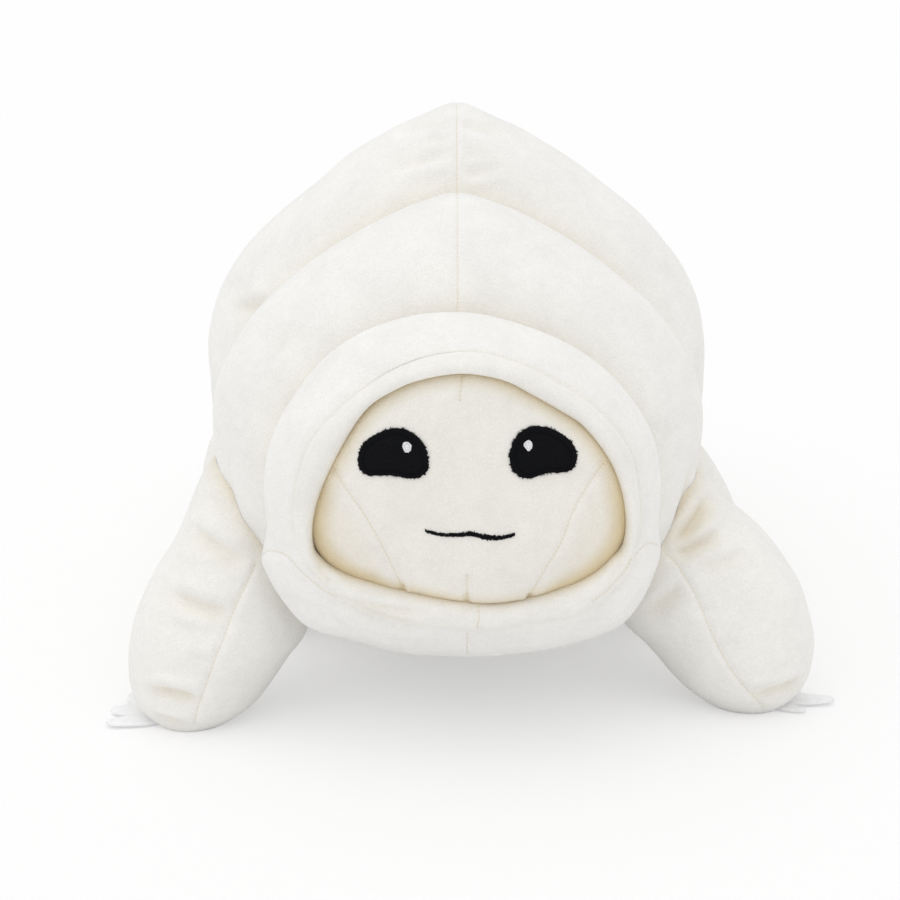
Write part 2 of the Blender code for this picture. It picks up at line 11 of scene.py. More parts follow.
import bmesh
import bpy
import numpy as np
from bpy.props import FloatProperty, FloatVectorProperty, PointerProperty
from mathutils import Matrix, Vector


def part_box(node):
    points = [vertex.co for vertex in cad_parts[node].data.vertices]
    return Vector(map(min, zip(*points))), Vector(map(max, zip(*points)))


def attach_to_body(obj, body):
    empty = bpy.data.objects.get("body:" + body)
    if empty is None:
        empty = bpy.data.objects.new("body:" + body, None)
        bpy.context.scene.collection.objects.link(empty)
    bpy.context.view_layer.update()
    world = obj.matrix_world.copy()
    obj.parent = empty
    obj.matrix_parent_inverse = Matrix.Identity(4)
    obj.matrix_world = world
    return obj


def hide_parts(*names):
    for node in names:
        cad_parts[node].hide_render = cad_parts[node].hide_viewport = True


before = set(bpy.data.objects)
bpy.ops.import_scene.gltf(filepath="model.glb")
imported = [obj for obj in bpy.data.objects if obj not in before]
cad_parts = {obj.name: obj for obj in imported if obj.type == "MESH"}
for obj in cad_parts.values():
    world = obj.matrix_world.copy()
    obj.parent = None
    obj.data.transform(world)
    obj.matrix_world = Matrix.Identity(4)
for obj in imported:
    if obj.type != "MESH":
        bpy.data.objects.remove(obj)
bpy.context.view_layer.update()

bl_info = {
    "name": "Plush Tardigrade",
    "version": (1, 0, 0),
    "blender": (4, 5, 0),
    "location": "3D View > Sidebar > Tardigrade",
    "description": "Dresses the solids of a plush tardigrade in minky, felt and thread",
    "category": "Object",
}

MM = 0.001
PHOTO_SIDE = 900
RINGS = ("shoulder_ring", "waist_ring", "hip_ring", "tail_end")
PAIRS = ("front", "second", "third", "tail")
LEGS = tuple(f"{pair}_{side}_leg" for pair in PAIRS for side in ("left", "right"))

# Outlines of the hood, traced in the photograph: its outer fold with the chin, the line behind the rolled rim,
# and the opening. Each starts at the top and goes round by the left of the picture.
OUTER_FOLD = (
    (459, 313), (410, 317), (372, 329), (344, 345), (318, 366), (297, 391), (281, 416), (270, 442),
    (264, 475), (264, 500), (267, 520), (267, 538), (261, 557), (270, 579), (286, 604), (305, 627),
    (350, 640), (400, 651), (450, 656), (480, 657), (540, 649), (588, 637), (622, 622), (641, 599),
    (654, 573), (661, 549), (656, 526), (657, 506), (659, 482), (655, 452), (641, 415), (623, 389),
    (603, 369), (577, 349), (543, 333), (500, 319),
)
RIM_LINE = (
    (465, 356), (430, 361), (399, 372), (366, 391), (337, 414), (316, 435), (302, 461), (295, 485),
    (292, 510), (296, 536), (305, 558), (322, 581), (345, 601), (379, 618), (422, 627), (477, 631),
    (523, 627), (566, 618), (602, 604), (623, 584), (637, 553), (642, 524), (640, 495), (634, 461),
    (620, 435), (600, 412), (571, 391), (540, 374), (508, 362),
)
OPENING = (
    (461, 374), (434, 377), (412, 382), (393, 391), (373, 404), (363, 415), (353, 430), (341, 451),
    (330, 473), (320, 496), (314, 517), (312, 540), (314, 554), (323, 564), (345, 577), (372, 585),
    (402, 592), (435, 599), (457, 602), (478, 604), (500, 604), (528, 599), (553, 593), (580, 584),
    (600, 572), (613, 560), (621, 553), (626, 533), (625, 510), (620, 487), (611, 465), (596, 443),
    (578, 424), (560, 413), (532, 397), (506, 383), (480, 376),
)

# The two arms that face the camera: the way they point in the photograph, the y of their shoulder and foot, and
# their outer and inner edges from shoulder to foot. Where a neighbour hides an edge, it lies inside the body.
Arm = namedtuple("Arm", "axis depths outer inner")
ARMS = {
    "front_right_leg": Arm(
        axis=(-0.218, 0.976), depths=(-0.0985, -0.152),
        outer=(
            (265, 418), (232, 436), (212, 457), (199, 479), (191, 497), (183, 518), (173, 542), (158, 568),
            (146, 591), (136, 614), (130, 639), (129, 659), (131, 680), (138, 699), (149, 712), (164, 722),
            (190, 729),
        ),
        inner=(
            (265, 418), (284, 432), (296, 470), (302, 520), (308, 570), (312, 604), (308, 628), (291, 652),
            (274, 677), (255, 700), (231, 716), (210, 725), (190, 729),
        ),
    ),
    "front_left_leg": Arm(
        axis=(0.402, 0.916), depths=(-0.096, -0.133),
        outer=(
            (660, 440), (689, 456), (711, 478), (733, 504), (746, 514), (765, 532), (783, 556), (799, 582),
            (808, 607), (813, 633), (811, 653), (806, 673), (795, 689), (783, 700), (772, 707), (763, 711),
        ),
        inner=(
            (660, 440), (636, 452), (612, 476), (600, 510), (597, 545), (604, 584), (625, 622), (639, 635),
            (653, 651), (669, 670), (690, 689), (711, 701), (737, 708), (763, 711),
        ),
    ),
}

# Outlines of the eyes, their glints and the mouth's middle line
EYES = {
    "right_eye": (
        (357.5, 462), (358.5, 454), (361, 446.6), (366, 440.7), (372, 436), (377.7, 433), (383, 430.8),
        (388.4, 429), (394, 428), (400, 428), (406, 429.4), (411.4, 432), (416.8, 435.8), (421.4, 441),
        (425.4, 447), (427.3, 454), (428.6, 462), (427.6, 470), (421.6, 476.2), (413, 478.2), (405.4, 478),
        (399, 476.4), (394, 475.9), (389, 475.2), (383.7, 475.6), (377.4, 475.4), (367.7, 475), (360.6, 470),
    ),
    "left_eye": (
        (543, 426.4), (548.8, 427.4), (554.2, 429.6), (559.5, 432), (564.7, 435.5), (570, 440), (574, 446),
        (576.8, 453), (576.6, 460.6), (573.8, 468), (566, 471.6), (558.5, 472.6), (552.3, 472.6),
        (547.5, 473), (543, 474.2), (538, 476), (531.3, 477.8), (523.4, 477.8), (516.5, 474), (511.4, 468),
        (509.6, 460.5), (509.2, 453), (511.8, 446), (514.8, 439.3), (518.8, 433.6), (524.3, 429.4),
        (530.3, 426.4), (536.8, 425.5),
    ),
    "right_eye_glint": (
        (407.5, 441.6), (410.2, 442.6), (411.3, 445.3), (411.2, 447.5), (410.7, 449.4), (409.4, 450.9),
        (407.5, 451.9), (405.1, 451.5), (403.7, 449.7), (402.9, 447.5), (402.6, 444.7), (404.1, 441.8),
    ),
    "left_eye_glint": (
        (529, 439.7), (531.5, 441.2), (532.5, 443.6), (532.5, 445.5), (532, 447.3), (530.9, 448.8),
        (529, 450.3), (526.7, 449.4), (525.3, 447.6), (524.1, 445.5), (524, 442.6), (526.1, 440.5),
    ),
}
MOUTH = (
    (425, 530.6), (432, 532.6), (440, 534.4), (448, 535), (456, 535), (464, 534.2), (470, 534), (476, 534.9),
    (482, 536.4), (488, 537.2), (496, 537.8), (504, 537.2), (510, 535.8), (515, 534.4),
)

# Seams of the front, each a smooth line through pixels of the photograph
FACE_SEAMS = (
    ((331, 464), (345, 487), (360, 508), (377, 537), (391, 566), (404, 594)),
    ((608, 458), (590, 483), (574, 510), (561, 543), (545, 570), (526, 602)),
    ((462, 370), (461, 388), (460, 402)),
    ((467, 574), (467, 590), (468, 606)),
)
HOOD_SEAMS = (
    ((258, 556), (268, 551), (283, 554), (302, 572), (322, 590), (338, 600)),
    ((663, 547), (651, 543), (640, 552), (627, 572), (610, 590), (592, 604)),
    ((478, 604), (479, 618), (477, 631)),
    ((467, 634), (467, 646), (467, 658)),
)
ARM_SEAMS = {
    "front_right_leg": ((
        (258, 560), (249, 579), (238, 601), (230, 620), (222, 642), (213, 665), (206, 686), (200, 702),
        (193, 729),
    ),),
    "front_left_leg": ((
        (662, 550), (674, 561), (685, 577), (692, 589), (702, 610), (713, 638), (722, 656), (735, 676),
        (752, 697), (766, 712),
    ),),
}

# Folds: from, to (pixels), sag (pixels), depth and half-width (mm), below 0 where its lower side is steep
FOLDS = {
    "front_right_leg": (
        ((184, 521), (254, 564), 4, 3.0, 5.4),
        ((162, 589), (240, 613), 3, 3.2, 5.2),
        ((160, 618), (226, 635), 3, 1.3, 4.2),
        ((186, 655), (216, 661), 1, 1.0, 3.0),
        ((140, 688), (206, 703), -3, 3.8, 3.6),
        ((148, 712), (192, 726), 2, 2.4, 2.4),
        ((200, 488), (232, 512), 3, 1.0, 4.4),
    ),
    "front_left_leg": (
        ((714, 488), (668, 547), 5, 5.4, 4.8),
        ((726, 526), (664, 556), 3, 4.2, 4.4),
        ((754, 546), (688, 566), 5, 2.0, 5.2),
        ((684, 580), (640, 614), 3, 2.6, 5.0),
        ((742, 638), (712, 650), 2, 1.0, 3.6),
        ((808, 672), (746, 701), 3, 3.4, 3.2),
        ((782, 676), (742, 694), 2, 1.6, 2.4),
    ),
    "hood": (
        ((320, 593), (440, 614), 3, 1.7, 2.8),
        ((340, 602), (432, 629), 3, 1.7, 2.6),
        ((316, 558), (335, 587), 0, 2.4, 2.8),
        ((622, 556), (604, 588), 0, 1.2, 2.6),
        ((520, 634), (600, 616), 4, 0.9, 3.2),
    ),
    "waist_ring": (
        ((398, 131), (456, 124), -3, 1.7, -4.2),
        ((456, 124), (508, 138), -3, 2.4, -4.2),
        ((418, 144), (456, 140), -2, 1.1, -3.0),
        ((380, 175), (456, 157), -4, 1.9, -4.6),
        ((458, 177), (510, 163), 2, 1.4, -4.2),
        ((462, 157), (492, 155), -1, 0.7, -3.0),
        ((226, 304), (274, 301), 3, 2.6, 5.0),
        ((222, 284), (256, 292), 0, 1.0, 5.0),
    ),
    "shoulder_ring": (
        ((418, 209), (457, 203), -2, 1.0, 3.4),
        ((459, 205), (506, 215), -2, 1.2, 3.4),
        ((700, 452), (672, 540), 6, 2.6, 5.0),
        ((222, 470), (240, 540), -4, 1.6, 5.0),
        ((266, 350), (300, 318), 0, 1.2, 7.0),
    ),
    "head": (
        ((405, 598), (402, 585), 0, 1.2, 1.7),
        ((526, 605), (530, 592), 0, 1.4, 1.7),
        ((467, 590), (467, 605), 0, 0.8, 1.6),
    ),
}

# Dents in the outline of a piece: their middle (pixels), radius and depth (mm), below 0 for a swelling
DENTS = {
    "waist_ring": (
        ((312, 186), 24, 3.4), ((416, 114), 12, 1.3), ((504, 120), 12, 1.0),
        ((694, 276), 30, -2.6), ((232, 262), 24, -1.6),
    ),
    "shoulder_ring": (((424, 197), 14, 1.2), ((500, 203), 16, 1.2)),
}

# Shape of the body, as in its solids. A section's peak is 0 for a round back, whose exponents are 2, and 1 for
# a pointed one, whose exponents are these. The mean fall is how far they lie below 2 on average.
PEAK_WIDTH_POWER = 1.25
PEAK_HEIGHT_POWER = 1.95
PEAK_MEAN_FALL = 0.4
BELLY_POWER = 2.2
WIDEST_SHARE = 0.52
BELLY_PRESS = 0.007
CREST_BOTTOMS = dict(zip(RINGS, (0.024, -BELLY_PRESS, -BELLY_PRESS, 0.012)))
CREST_PEAKS = dict(zip(RINGS, (1.0, 1.0, 0.9, 0.7)))
CREASE_PEAK = 0.6
FIRST_CREST_DROP = 0.002
NECK_PEAK = 0.1
NECK_INSET = {"side": 0.009, "top": 0.012, "bottom": 0.003}
TAIL_CREST_SHARE = 0.34
TAIL_POWER = 2.2
Section = namedtuple("Section", "shift half_width top bottom peak")

# How far the hood's fold, its rim line, its opening and the face's widest line lie behind the front of the rim,
# and how much wider than the opening the pocket behind it is
FOLD_BACK = 0.040
RIM_LINE_BACK = 0.006
OPENING_BACK = 0.004
FACE_BACK = 0.020
POCKET_WIDER = 0.003

# Rows along each stretch of the hood and over the face's dome, and the share of its radius at which a surface
# is closed
HOOD_ROWS = (26, 60, 44, 16, 6)
DOME_ROWS = 150
CLOSING_SHARE = 0.004

# The six legs behind the arms: x of root, knee and foot, height of root and knee, y of root and foot
LegPath = namedtuple("LegPath", "root_x knee_x foot_x root_z knee_z root_y foot_y radius")
LEG_PATHS = {
    "second_left_leg": LegPath(0.080, 0.123, 0.133, 0.124, 0.078, -0.006, -0.014, 0.036),
    "second_right_leg": LegPath(0.068, 0.091, 0.105, 0.118, 0.060, -0.006, -0.022, 0.036),
}
for side in ("left", "right"):
    LEG_PATHS[f"third_{side}_leg"] = LegPath(0.080, 0.118, 0.128, 0.120, 0.070, 0.109, 0.113, 0.036)
    LEG_PATHS[f"tail_{side}_leg"] = LegPath(0.048, 0.076, 0.082, 0.098, 0.060, 0.193, 0.241, 0.034)
SOLE_Z = -0.0045
LEG_DEPTH_SHARE = 0.94
LEG_ENDS = (0.012, 0.988)

# How far a seam's shade reaches, the width of a satin stitch, of an eye's border and of a stitch of the mouth,
# and the exponent of a claw's rounded edge
SEAM_REACH = 3 * MM
SATIN_STITCH = 0.00075
SATIN_BORDER = 0.0026
MOUTH_STITCH = 0.0007
FELT_EDGE = 0.55

# Light: strength, disc and tilt of the panel overhead, the floor's own glow, the fill and the background
PANEL_STRENGTH = 0.89
PANEL_DISC = math.radians(80)
PANEL_TILT = math.radians(9)
FLOOR_GLOW = 0.46
FILL = 0.75
BACKGROUND = 0.99
WHITE = (1.0, 1.0, 1.0, 1.0)


def linear(hex_code):
    """A linear colour (r, g, b, 1) from sRGB hex."""
    channels = [int(hex_code[k:k + 2], 16) / 255 for k in (1, 3, 5)]
    return tuple(c / 12.92 if c <= 0.04045 else ((c + 0.055) / 1.055) ** 2.4 for c in channels) + (1.0,)


def colour_property(name, description, hex_code):
    """A colour setting, its default given as sRGB hex."""
    return FloatVectorProperty(
        name=name, description=description, default=linear(hex_code)[:3], size=3, subtype="COLOR", min=0, max=1)


def length_property(name, description, millimetres):
    """A length setting in metres, its default given in millimetres."""
    return FloatProperty(
        name=name, description=description, default=millimetres * MM, unit="LENGTH", precision=5)


class CoverSettings(bpy.types.PropertyGroup):
    """Sizes of the sewn covers."""

    crease_top: length_property("Crease depth, back", "How far a crease lies below the lower ring", 19)
    crease_side: length_property("Crease depth, side", "The same at the sides", 13)
    crease_belly: length_property("Crease depth, belly", "The same at the belly", 4)
    ring_swell: FloatProperty(
        name="Ring swell", description="Under 1 makes a ring swell quickly out of its crease", default=0.72)
    clearance: length_property("Clearance", "Gap between two pieces that touch", 0.08)
    rim_roll: length_property("Rim roll", "How far the rolled rim stands out in front of the band", 11)
    band_swell: length_property("Band swell", "How far the hood's front bulges between rim and fold", 3.6)
    face_depth: length_property("Face depth", "From the head's widest line to the front of the face", 24)
    face_fullness: FloatProperty(
        name="Face fullness", description="Exponent of the face's dome: a higher one is flatter", default=3.3)
    cheek_fall: length_property("Cheek fall", "How far the cheeks sink beside the seams of the face", 1.4)
    tuck: length_property("Leg tuck", "How far a leg draws in where it is sewn on", 1.6)
    seam_depth: length_property("Seam depth", "How far a seam is pulled in", 1.0)
    seam_half_width: length_property("Seam half-width", "Half the width of the groove along a seam", 1.8)
    stitch_length: length_property("Stitch length", "From one needle hole to the next", 2.1)
    pile_height: length_property("Pile height", "Height of the short pile", 0.5)
    lump_height: length_property("Lump height", "Unevenness of the filling under the cover", 0.9)


class FinishSettings(bpy.types.PropertyGroup):
    """Colours of the cloth, felt and thread."""

    pile: colour_property("Pile", "Cream minky in full light", "#F6F5F2")
    # Pile colour for painted shade in creases, folds, seams, the hood's pocket and where pieces meet
    hollow: colour_property("Hollow", "The same pile deep in a crease", "#DFCB9C")
    # Colour of painted shade in the needle holes along a seam
    needle_hole_shade: colour_property("Needle hole", "The holes along a seam", "#A89C82")
    felt: colour_property("Felt", "Pressed white felt", "#FAFAFB")
    black_thread: colour_property("Black thread", "Embroidery of the eyes and mouth", "#090A0E")
    white_thread: colour_property("White thread", "Embroidery of the glints", "#FAFAFD")


class StageSettings(bpy.types.PropertyGroup):
    """Camera, floor and light."""

    camera_distance: length_property("Camera distance", "From the hood's rim to the camera, level", 912.5)
    camera_height: length_property("Camera height", "Above the floor", 458)
    camera_shift: length_property("Camera shift", "To the left of the animal's middle plane", 3.5)
    camera_pitch: FloatProperty(
        name="Camera pitch", description="Tilt below level", default=math.radians(18), subtype="ANGLE")
    focal_pixels: FloatProperty(
        name="Focal length", description="Focal length in pixels of the photograph", default=2117.0)
    floor: colour_property("Floor", "Plain pale floor", "#FAFAFA")


# Numbers on whole arrays of points

def settings():
    """The three groups of settings on the scene."""
    scene = bpy.context.scene
    return scene.plush_cover, scene.plush_finish, scene.plush_stage


def camera_place():
    """The camera's place: in front of the hood's rim, which is the hood's lowest y."""
    stage = settings()[2]
    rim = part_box("hood")[0].y
    return np.array([-stage.camera_shift, rim - stage.camera_distance, stage.camera_height])


def seen_at(points):
    """Pixel (x, y) where each point shows in the photograph, and metres a pixel covers there."""
    stage = settings()[2]
    away = points - camera_place()
    cos, sin = math.cos(stage.camera_pitch), math.sin(stage.camera_pitch)
    depth = away[:, 1] * cos - away[:, 2] * sin
    rise = away[:, 1] * sin + away[:, 2] * cos
    scale = stage.focal_pixels / depth
    middle = PHOTO_SIDE / 2
    return np.stack([middle + away[:, 0] * scale, middle - rise * scale], axis=1), 1 / scale


def travelled(line):
    """How far along a line each of its points lies."""
    return np.r_[0, np.cumsum(np.linalg.norm(np.diff(line, axis=0), axis=1))]


def smooth_line(points, samples=80):
    """Points of a line drawn smoothly through three or more: each stretch is a cubic with shared slopes."""
    knots = np.array(points, float)
    steps = travelled(knots)
    slopes = np.gradient(knots, steps, axis=0)
    at = np.linspace(0, steps[-1], samples)
    k = np.clip(np.searchsorted(steps, at, side="right") - 1, 0, len(knots) - 2)
    gap = (steps[k + 1] - steps[k])[:, None]
    t = (at - steps[k])[:, None] / gap
    return ((2 * t**3 - 3 * t**2 + 1) * knots[k] + (t**3 - 2 * t**2 + t) * gap * slopes[k]
            + (3 * t**2 - 2 * t**3) * knots[k + 1] + (t**3 - t**2) * gap * slopes[k + 1])


def sagging_line(start, end, sag, samples=40):
    """A line between two pixels whose middle hangs lower by sag: sag times 4 t (1 - t)."""
    share = np.linspace(0, 1, samples)[:, None]
    line = np.array(start, float) * (1 - share) + np.array(end, float) * share
    line[:, 1:] += sag * 4 * share * (1 - share)
    return line


def near_line(at, line):
    """(signed distance across, distance along, share along) of 2-D points from a line."""
    away = at[:, None, :] - line[None, :, :]
    nearest = np.argmin((away**2).sum(2), axis=1)
    k = np.clip(nearest, 1, len(line) - 2)
    ahead = line[k + 1] - line[k - 1]
    ahead /= np.linalg.norm(ahead, axis=1)[:, None]
    steps = travelled(line)
    offset = at - line[nearest]
    across = offset[:, 0] * ahead[:, 1] - offset[:, 1] * ahead[:, 0]
    along = steps[nearest] + (offset * ahead).sum(1)
    return across, along, along / steps[-1]


def eased(value):
    """0 to 1 with no corner at either end: 3 t^2 - 2 t^3 of the clipped value."""
    t = np.clip(value, 0, 1)
    return t * t * (3 - 2 * t)


def bell(away, width):
    """1 in the middle, falling off to both sides as exp(-(away / width)^2)."""
    return np.exp(-(away / width) ** 2)


def quarter(share):
    """0 to 1 as a quarter of a sine wave: steep at first, level at its end."""
    return np.sin(np.pi / 2 * share)


def bunched(first, last, count):
    """A column of shares that lie closer together near 0 and 1: (1 - cos(180 degrees t)) / 2."""
    return (1 - np.cos(np.pi * np.linspace(first, last, count)[:, None])) / 2


def signed_power(value, power):
    """|value|^power with the value's own sign."""
    return np.sign(value) * np.abs(value) ** power


def lumps(points, size, seed):
    """Soft unevenness, mostly within 1: a fifth of the sum of twelve sine waves in random directions."""
    chance = np.random.default_rng(seed)
    total = np.zeros(len(points))
    for _ in range(12):
        direction = chance.normal(size=3)
        direction /= np.linalg.norm(direction)
        wave = size * chance.uniform(0.7, 1.6)
        total += np.sin(points @ direction * 2 * np.pi / wave + chance.uniform(0, 2 * np.pi))
    return total / 5


# Meshes

def read(items, key, width):
    """A number or a vector from each of a mesh's items, as an array."""
    flat = np.zeros(len(items) * width, np.float32)
    items.foreach_get(key, flat)
    return flat.reshape(-1, width).astype(float)


def points_of(mesh):
    """A mesh's points as an array."""
    return read(mesh.vertices, "co", 3)


def normals_of(mesh):
    """A mesh's point normals as an array."""
    return read(mesh.vertex_normals, "vector", 3)


def set_points(mesh, points):
    """Puts an array of points into a mesh."""
    mesh.vertices.foreach_set("co", points.astype(np.float32).ravel())
    mesh.update()


def set_attribute(mesh, name, values):
    """A number for each point, which a material can read."""
    attribute = mesh.attributes.get(name) or mesh.attributes.new(name, "FLOAT", "POINT")
    attribute.data.foreach_set("value", np.asarray(values, np.float32).ravel())


def get_attribute(mesh, name):
    """The numbers that set_attribute gave the points."""
    return read(mesh.attributes[name].data, "value", 1).ravel()


def outward(mesh):
    """Turns a closed mesh's faces outwards."""
    shape = bmesh.new()
    shape.from_mesh(mesh)
    bmesh.ops.recalc_face_normals(shape, faces=shape.faces)
    shape.to_mesh(mesh)
    shape.free()


def skin(name, grid, ring=False, **numbers):
    """A closed mesh over a grid of rows of points. Its columns wrap round.

    Its rows wrap round too if it is a ring, and otherwise a face closes its first and last rows. Each further
    argument is a number for each point.
    """
    rows, columns = grid.shape[:2]
    index = np.arange(rows * columns).reshape(rows, columns)
    if ring:
        index = np.vstack([index, index[:1]])
    beside = np.roll(index, -1, axis=1)
    quads = np.stack([index[:-1], beside[:-1], beside[1:], index[1:]], axis=-1).reshape(-1, 4).tolist()
    ends = [] if ring else [index[0, ::-1].tolist(), index[-1].tolist()]
    mesh = bpy.data.meshes.new(name)
    mesh.from_pydata(grid.reshape(-1, 3).tolist(), [], quads + ends)
    for key, values in numbers.items():
        set_attribute(mesh, key, np.broadcast_to(values, (rows, columns)))
    outward(mesh)
    return mesh


def shown(mesh, material, slot, *nodes):
    """A finished piece: it rides the one body, takes a finish, and stands for its nodes."""
    piece = bpy.data.objects.new("sewn_" + nodes[0], mesh)
    bpy.context.scene.collection.objects.link(piece)
    mesh.materials.clear()
    mesh.materials.append(material)
    mesh.shade_smooth()
    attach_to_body(piece, "root")
    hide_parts(*nodes)
    return piece


# Shapes

def turns(count):
    """Equal turns round a section, as one row."""
    return np.linspace(0, 2 * np.pi, count, endpoint=False)[None, :]


def mixed(first, second, share):
    """The section that lies the given share of the way from first to second."""
    return Section(*(a + (b - a) * share for a, b in zip(first, second)))


def outline(section, turn):
    """Points (x, z) of a section: |x / half-width|^p + |z / reach|^q = 1, with other exponents below."""
    middle = section.bottom + WIDEST_SHARE * (section.top - section.bottom)
    across, up = np.cos(turn), np.sin(turn)
    wide = 2 / np.where(up >= 0, 2 + (PEAK_WIDTH_POWER - 2) * section.peak, BELLY_POWER)
    high = 2 / np.where(up >= 0, 2 + (PEAK_HEIGHT_POWER - 2) * section.peak, BELLY_POWER)
    reach = np.where(up >= 0, section.top - middle, middle - section.bottom)
    x = section.shift + section.half_width * signed_power(across, wide)
    return x, np.maximum(middle + reach * signed_power(up, high), 0.0)


def crest_of(name):
    """A ring's widest section, from its solid's own box."""
    low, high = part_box(name)
    return Section((low.x + high.x) / 2, (high.x - low.x) / 2, high.z, CREST_BOTTOMS[name], CREST_PEAKS[name])


def body_sections():
    """{ring: (front crease, crest, rear crease)}: a crease lies below the lower of its two rings."""
    cover = settings()[0]
    crests = [crest_of(name) for name in RINGS]
    crests[0] = crests[0]._replace(top=crests[0].top - FIRST_CREST_DROP)
    low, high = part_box("hood")
    neck = Section((low.x + high.x) / 2, (high.x - low.x) / 2 - NECK_INSET["side"],
                   high.z - NECK_INSET["top"], low.z + NECK_INSET["bottom"], NECK_PEAK)
    creases = [neck]
    for front, rear in zip(crests, crests[1:]):
        creases.append(Section(
            0.0,
            min(front.half_width, rear.half_width) - cover.crease_side,
            min(front.top, rear.top) - cover.crease_top,
            max(front.bottom, rear.bottom) + cover.crease_belly,
            CREASE_PEAK,
        ))
    creases[1] = creases[1]._replace(bottom=(crests[0].bottom + crests[1].bottom) / 2)
    creases[3] = creases[3]._replace(bottom=crests[3].bottom / 2)
    creases.append(None)
    return {name: (creases[k], crests[k], creases[k + 1]) for k, name in enumerate(RINGS)}


def ring_profile(name, share):
    """(section, swell) at shares of a ring's length, from its front crease by its crest to its rear crease.

    Swell is sin(90 degrees of the way to the crest) to the power of the ring swell. The tail end has no rear
    crease: past its crest it shrinks as (1 - t^2.2)^(1 / 2.2).
    """
    front, crest, rear = body_sections()[name]
    power = settings()[0].ring_swell
    if rear is not None:
        swell = quarter(np.clip(2 * np.minimum(share, 1 - share), 0, 1)) ** power
        near = Section(*(np.where(share <= 0.5, a, b) for a, b in zip(front, rear)))
        return mixed(near, crest, swell), swell
    swell = quarter(np.clip(share / TAIL_CREST_SHARE, 0, 1)) ** power
    past = np.clip((share - TAIL_CREST_SHARE) / (1 - TAIL_CREST_SHARE), 0, 1)
    shrink = (1 - past**TAIL_POWER) ** (1 / TAIL_POWER)
    middle = crest.bottom + WIDEST_SHARE * (crest.top - crest.bottom)
    closing = crest._replace(half_width=crest.half_width * shrink, top=middle + (crest.top - middle) * shrink,
                             bottom=middle + (crest.bottom - middle) * shrink)
    opening = mixed(front, crest, swell)
    rising = share < TAIL_CREST_SHARE
    return Section(*(np.where(rising, a, b) for a, b in zip(opening, closing))), np.where(rising, swell, 1.0)


def ring_mesh(name):
    """A body ring: its section carried along the body, and closed by a flat face at each crease.

    Its painted shade is deepest in its creases and fades over 10 mm, with a faint edge that fades over 30 mm.
    Within 20 mm of a crease the cloth is held.
    """
    last = name == "tail_end"
    rows, columns = (130, 320) if name in RINGS[:2] else (90, 200)
    low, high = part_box(name)
    share = bunched(0, 1, rows)
    if last:
        share = 1 - (1 - share) ** 1.25
    section, _ = ring_profile(name, share)
    x, z = outline(section, turns(columns))
    y = low.y + share * (high.y - low.y) + np.zeros_like(x)
    grid = np.stack([x, y, z], axis=-1)
    run = travelled(grid[:, columns // 4])[:, None]
    left = run[-1] - run
    # Painted shade, deepest in the creases between rings and fading over 10 mm and 30 mm
    hollow = 0.42 * np.exp(-run / 0.010) + 0.16 * np.exp(-run / 0.03) + (0 if last else np.exp(-left / 0.011))
    freedom = eased(run / 0.02) * (1 if last else eased(left / 0.02))
    seam = np.where(np.abs(np.cos(turns(columns))) < 0.5, x, 1.0)
    grid = np.concatenate([shrunk(grid[:1]), grid, shrunk(grid[-1:])[::-1]])
    closing = (len(grid) - rows) // 2
    hollow, freedom, seam, run = (
        np.pad(values, ((closing, closing), (0, 0)), "edge") for values in (hollow, freedom, seam, run))
    return skin(name, grid, hollow=hollow, freedom=freedom, across=seam, along=run)


def shrunk(loop, shares=(CLOSING_SHARE, 0.25, 0.55, 0.8, 0.94)):
    """Rows that close a loop towards its middle, the smallest first."""
    middle = loop.mean(axis=1, keepdims=True)
    return np.concatenate([middle + (loop - middle) * share for share in shares])


def body_gap(points):
    """Roughly how far points lie outside the body rings, below 0 inside: r (1 - 1 / g), where g is the
    section's gauge, 1 on the surface."""
    table = []
    for name in RINGS:
        low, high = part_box(name)
        share = np.linspace(0, 1, 60)[:, None]
        section, _ = ring_profile(name, share)
        values = np.concatenate([np.broadcast_to(part, share.shape) for part in section], axis=1)
        table.append(np.concatenate([low.y + share * (high.y - low.y), values], axis=1))
    table = np.concatenate(table)
    at = Section(*(np.interp(points[:, 1], table[:, 0], table[:, k]) for k in range(1, 6)))
    middle = at.bottom + WIDEST_SHARE * (at.top - at.bottom)
    up = points[:, 2] - middle
    reach = np.where(up >= 0, at.top - middle, middle - at.bottom)
    power = np.where(up >= 0, 2 - PEAK_MEAN_FALL * at.peak, BELLY_POWER)
    away = np.abs(points[:, 0] - at.shift)
    gauge = ((away / np.maximum(at.half_width, 1e-4)) ** power
             + (np.abs(up) / np.maximum(reach, 1e-4)) ** power) ** (1 / power)
    return np.hypot(away, up) * (1 - 1 / np.maximum(gauge, 0.05))


def closed_line(pixels):
    """A smooth closed line through pixels, a little more than once round."""
    return smooth_line(pixels + pixels[:3], 900)


def radius_at(x, z, centre, wanted):
    """Radius of a closed line about a centre (x, z), at each wanted turn."""
    across, up = x - centre[0], z - centre[1]
    turn = np.arctan2(up, across)
    order = np.argsort(turn)
    return np.interp(wanted, turn[order], np.hypot(across, up)[order], period=2 * np.pi)


def round_radius(points, centre, count, blur=9):
    """The same at count equal turns, smoothed over a few of them."""
    radius = radius_at(points[:, 0], points[:, 2], centre, np.linspace(-np.pi, np.pi, count, endpoint=False))
    kernel = np.hanning(blur + 2)
    radius = np.convolve(np.tile(radius, 3), kernel / kernel.sum(), "same")[count:2 * count]
    return np.roll(radius, -(count // 2))


def placed(pixels, y):
    """Points in space at the given y that show at pixels of the photograph."""
    stage = settings()[2]
    camera = camera_place()
    cos, sin = math.cos(stage.camera_pitch), math.sin(stage.camera_pitch)
    away = (np.asarray(pixels, float) - PHOTO_SIDE / 2) / stage.focal_pixels
    across, down = away[:, 0], away[:, 1]
    ahead, rise = cos - down * sin, -sin - down * cos
    reach = (y - camera[1]) / ahead
    return np.stack([camera[0] + across * reach, y + 0 * reach, camera[2] + rise * reach], axis=1)


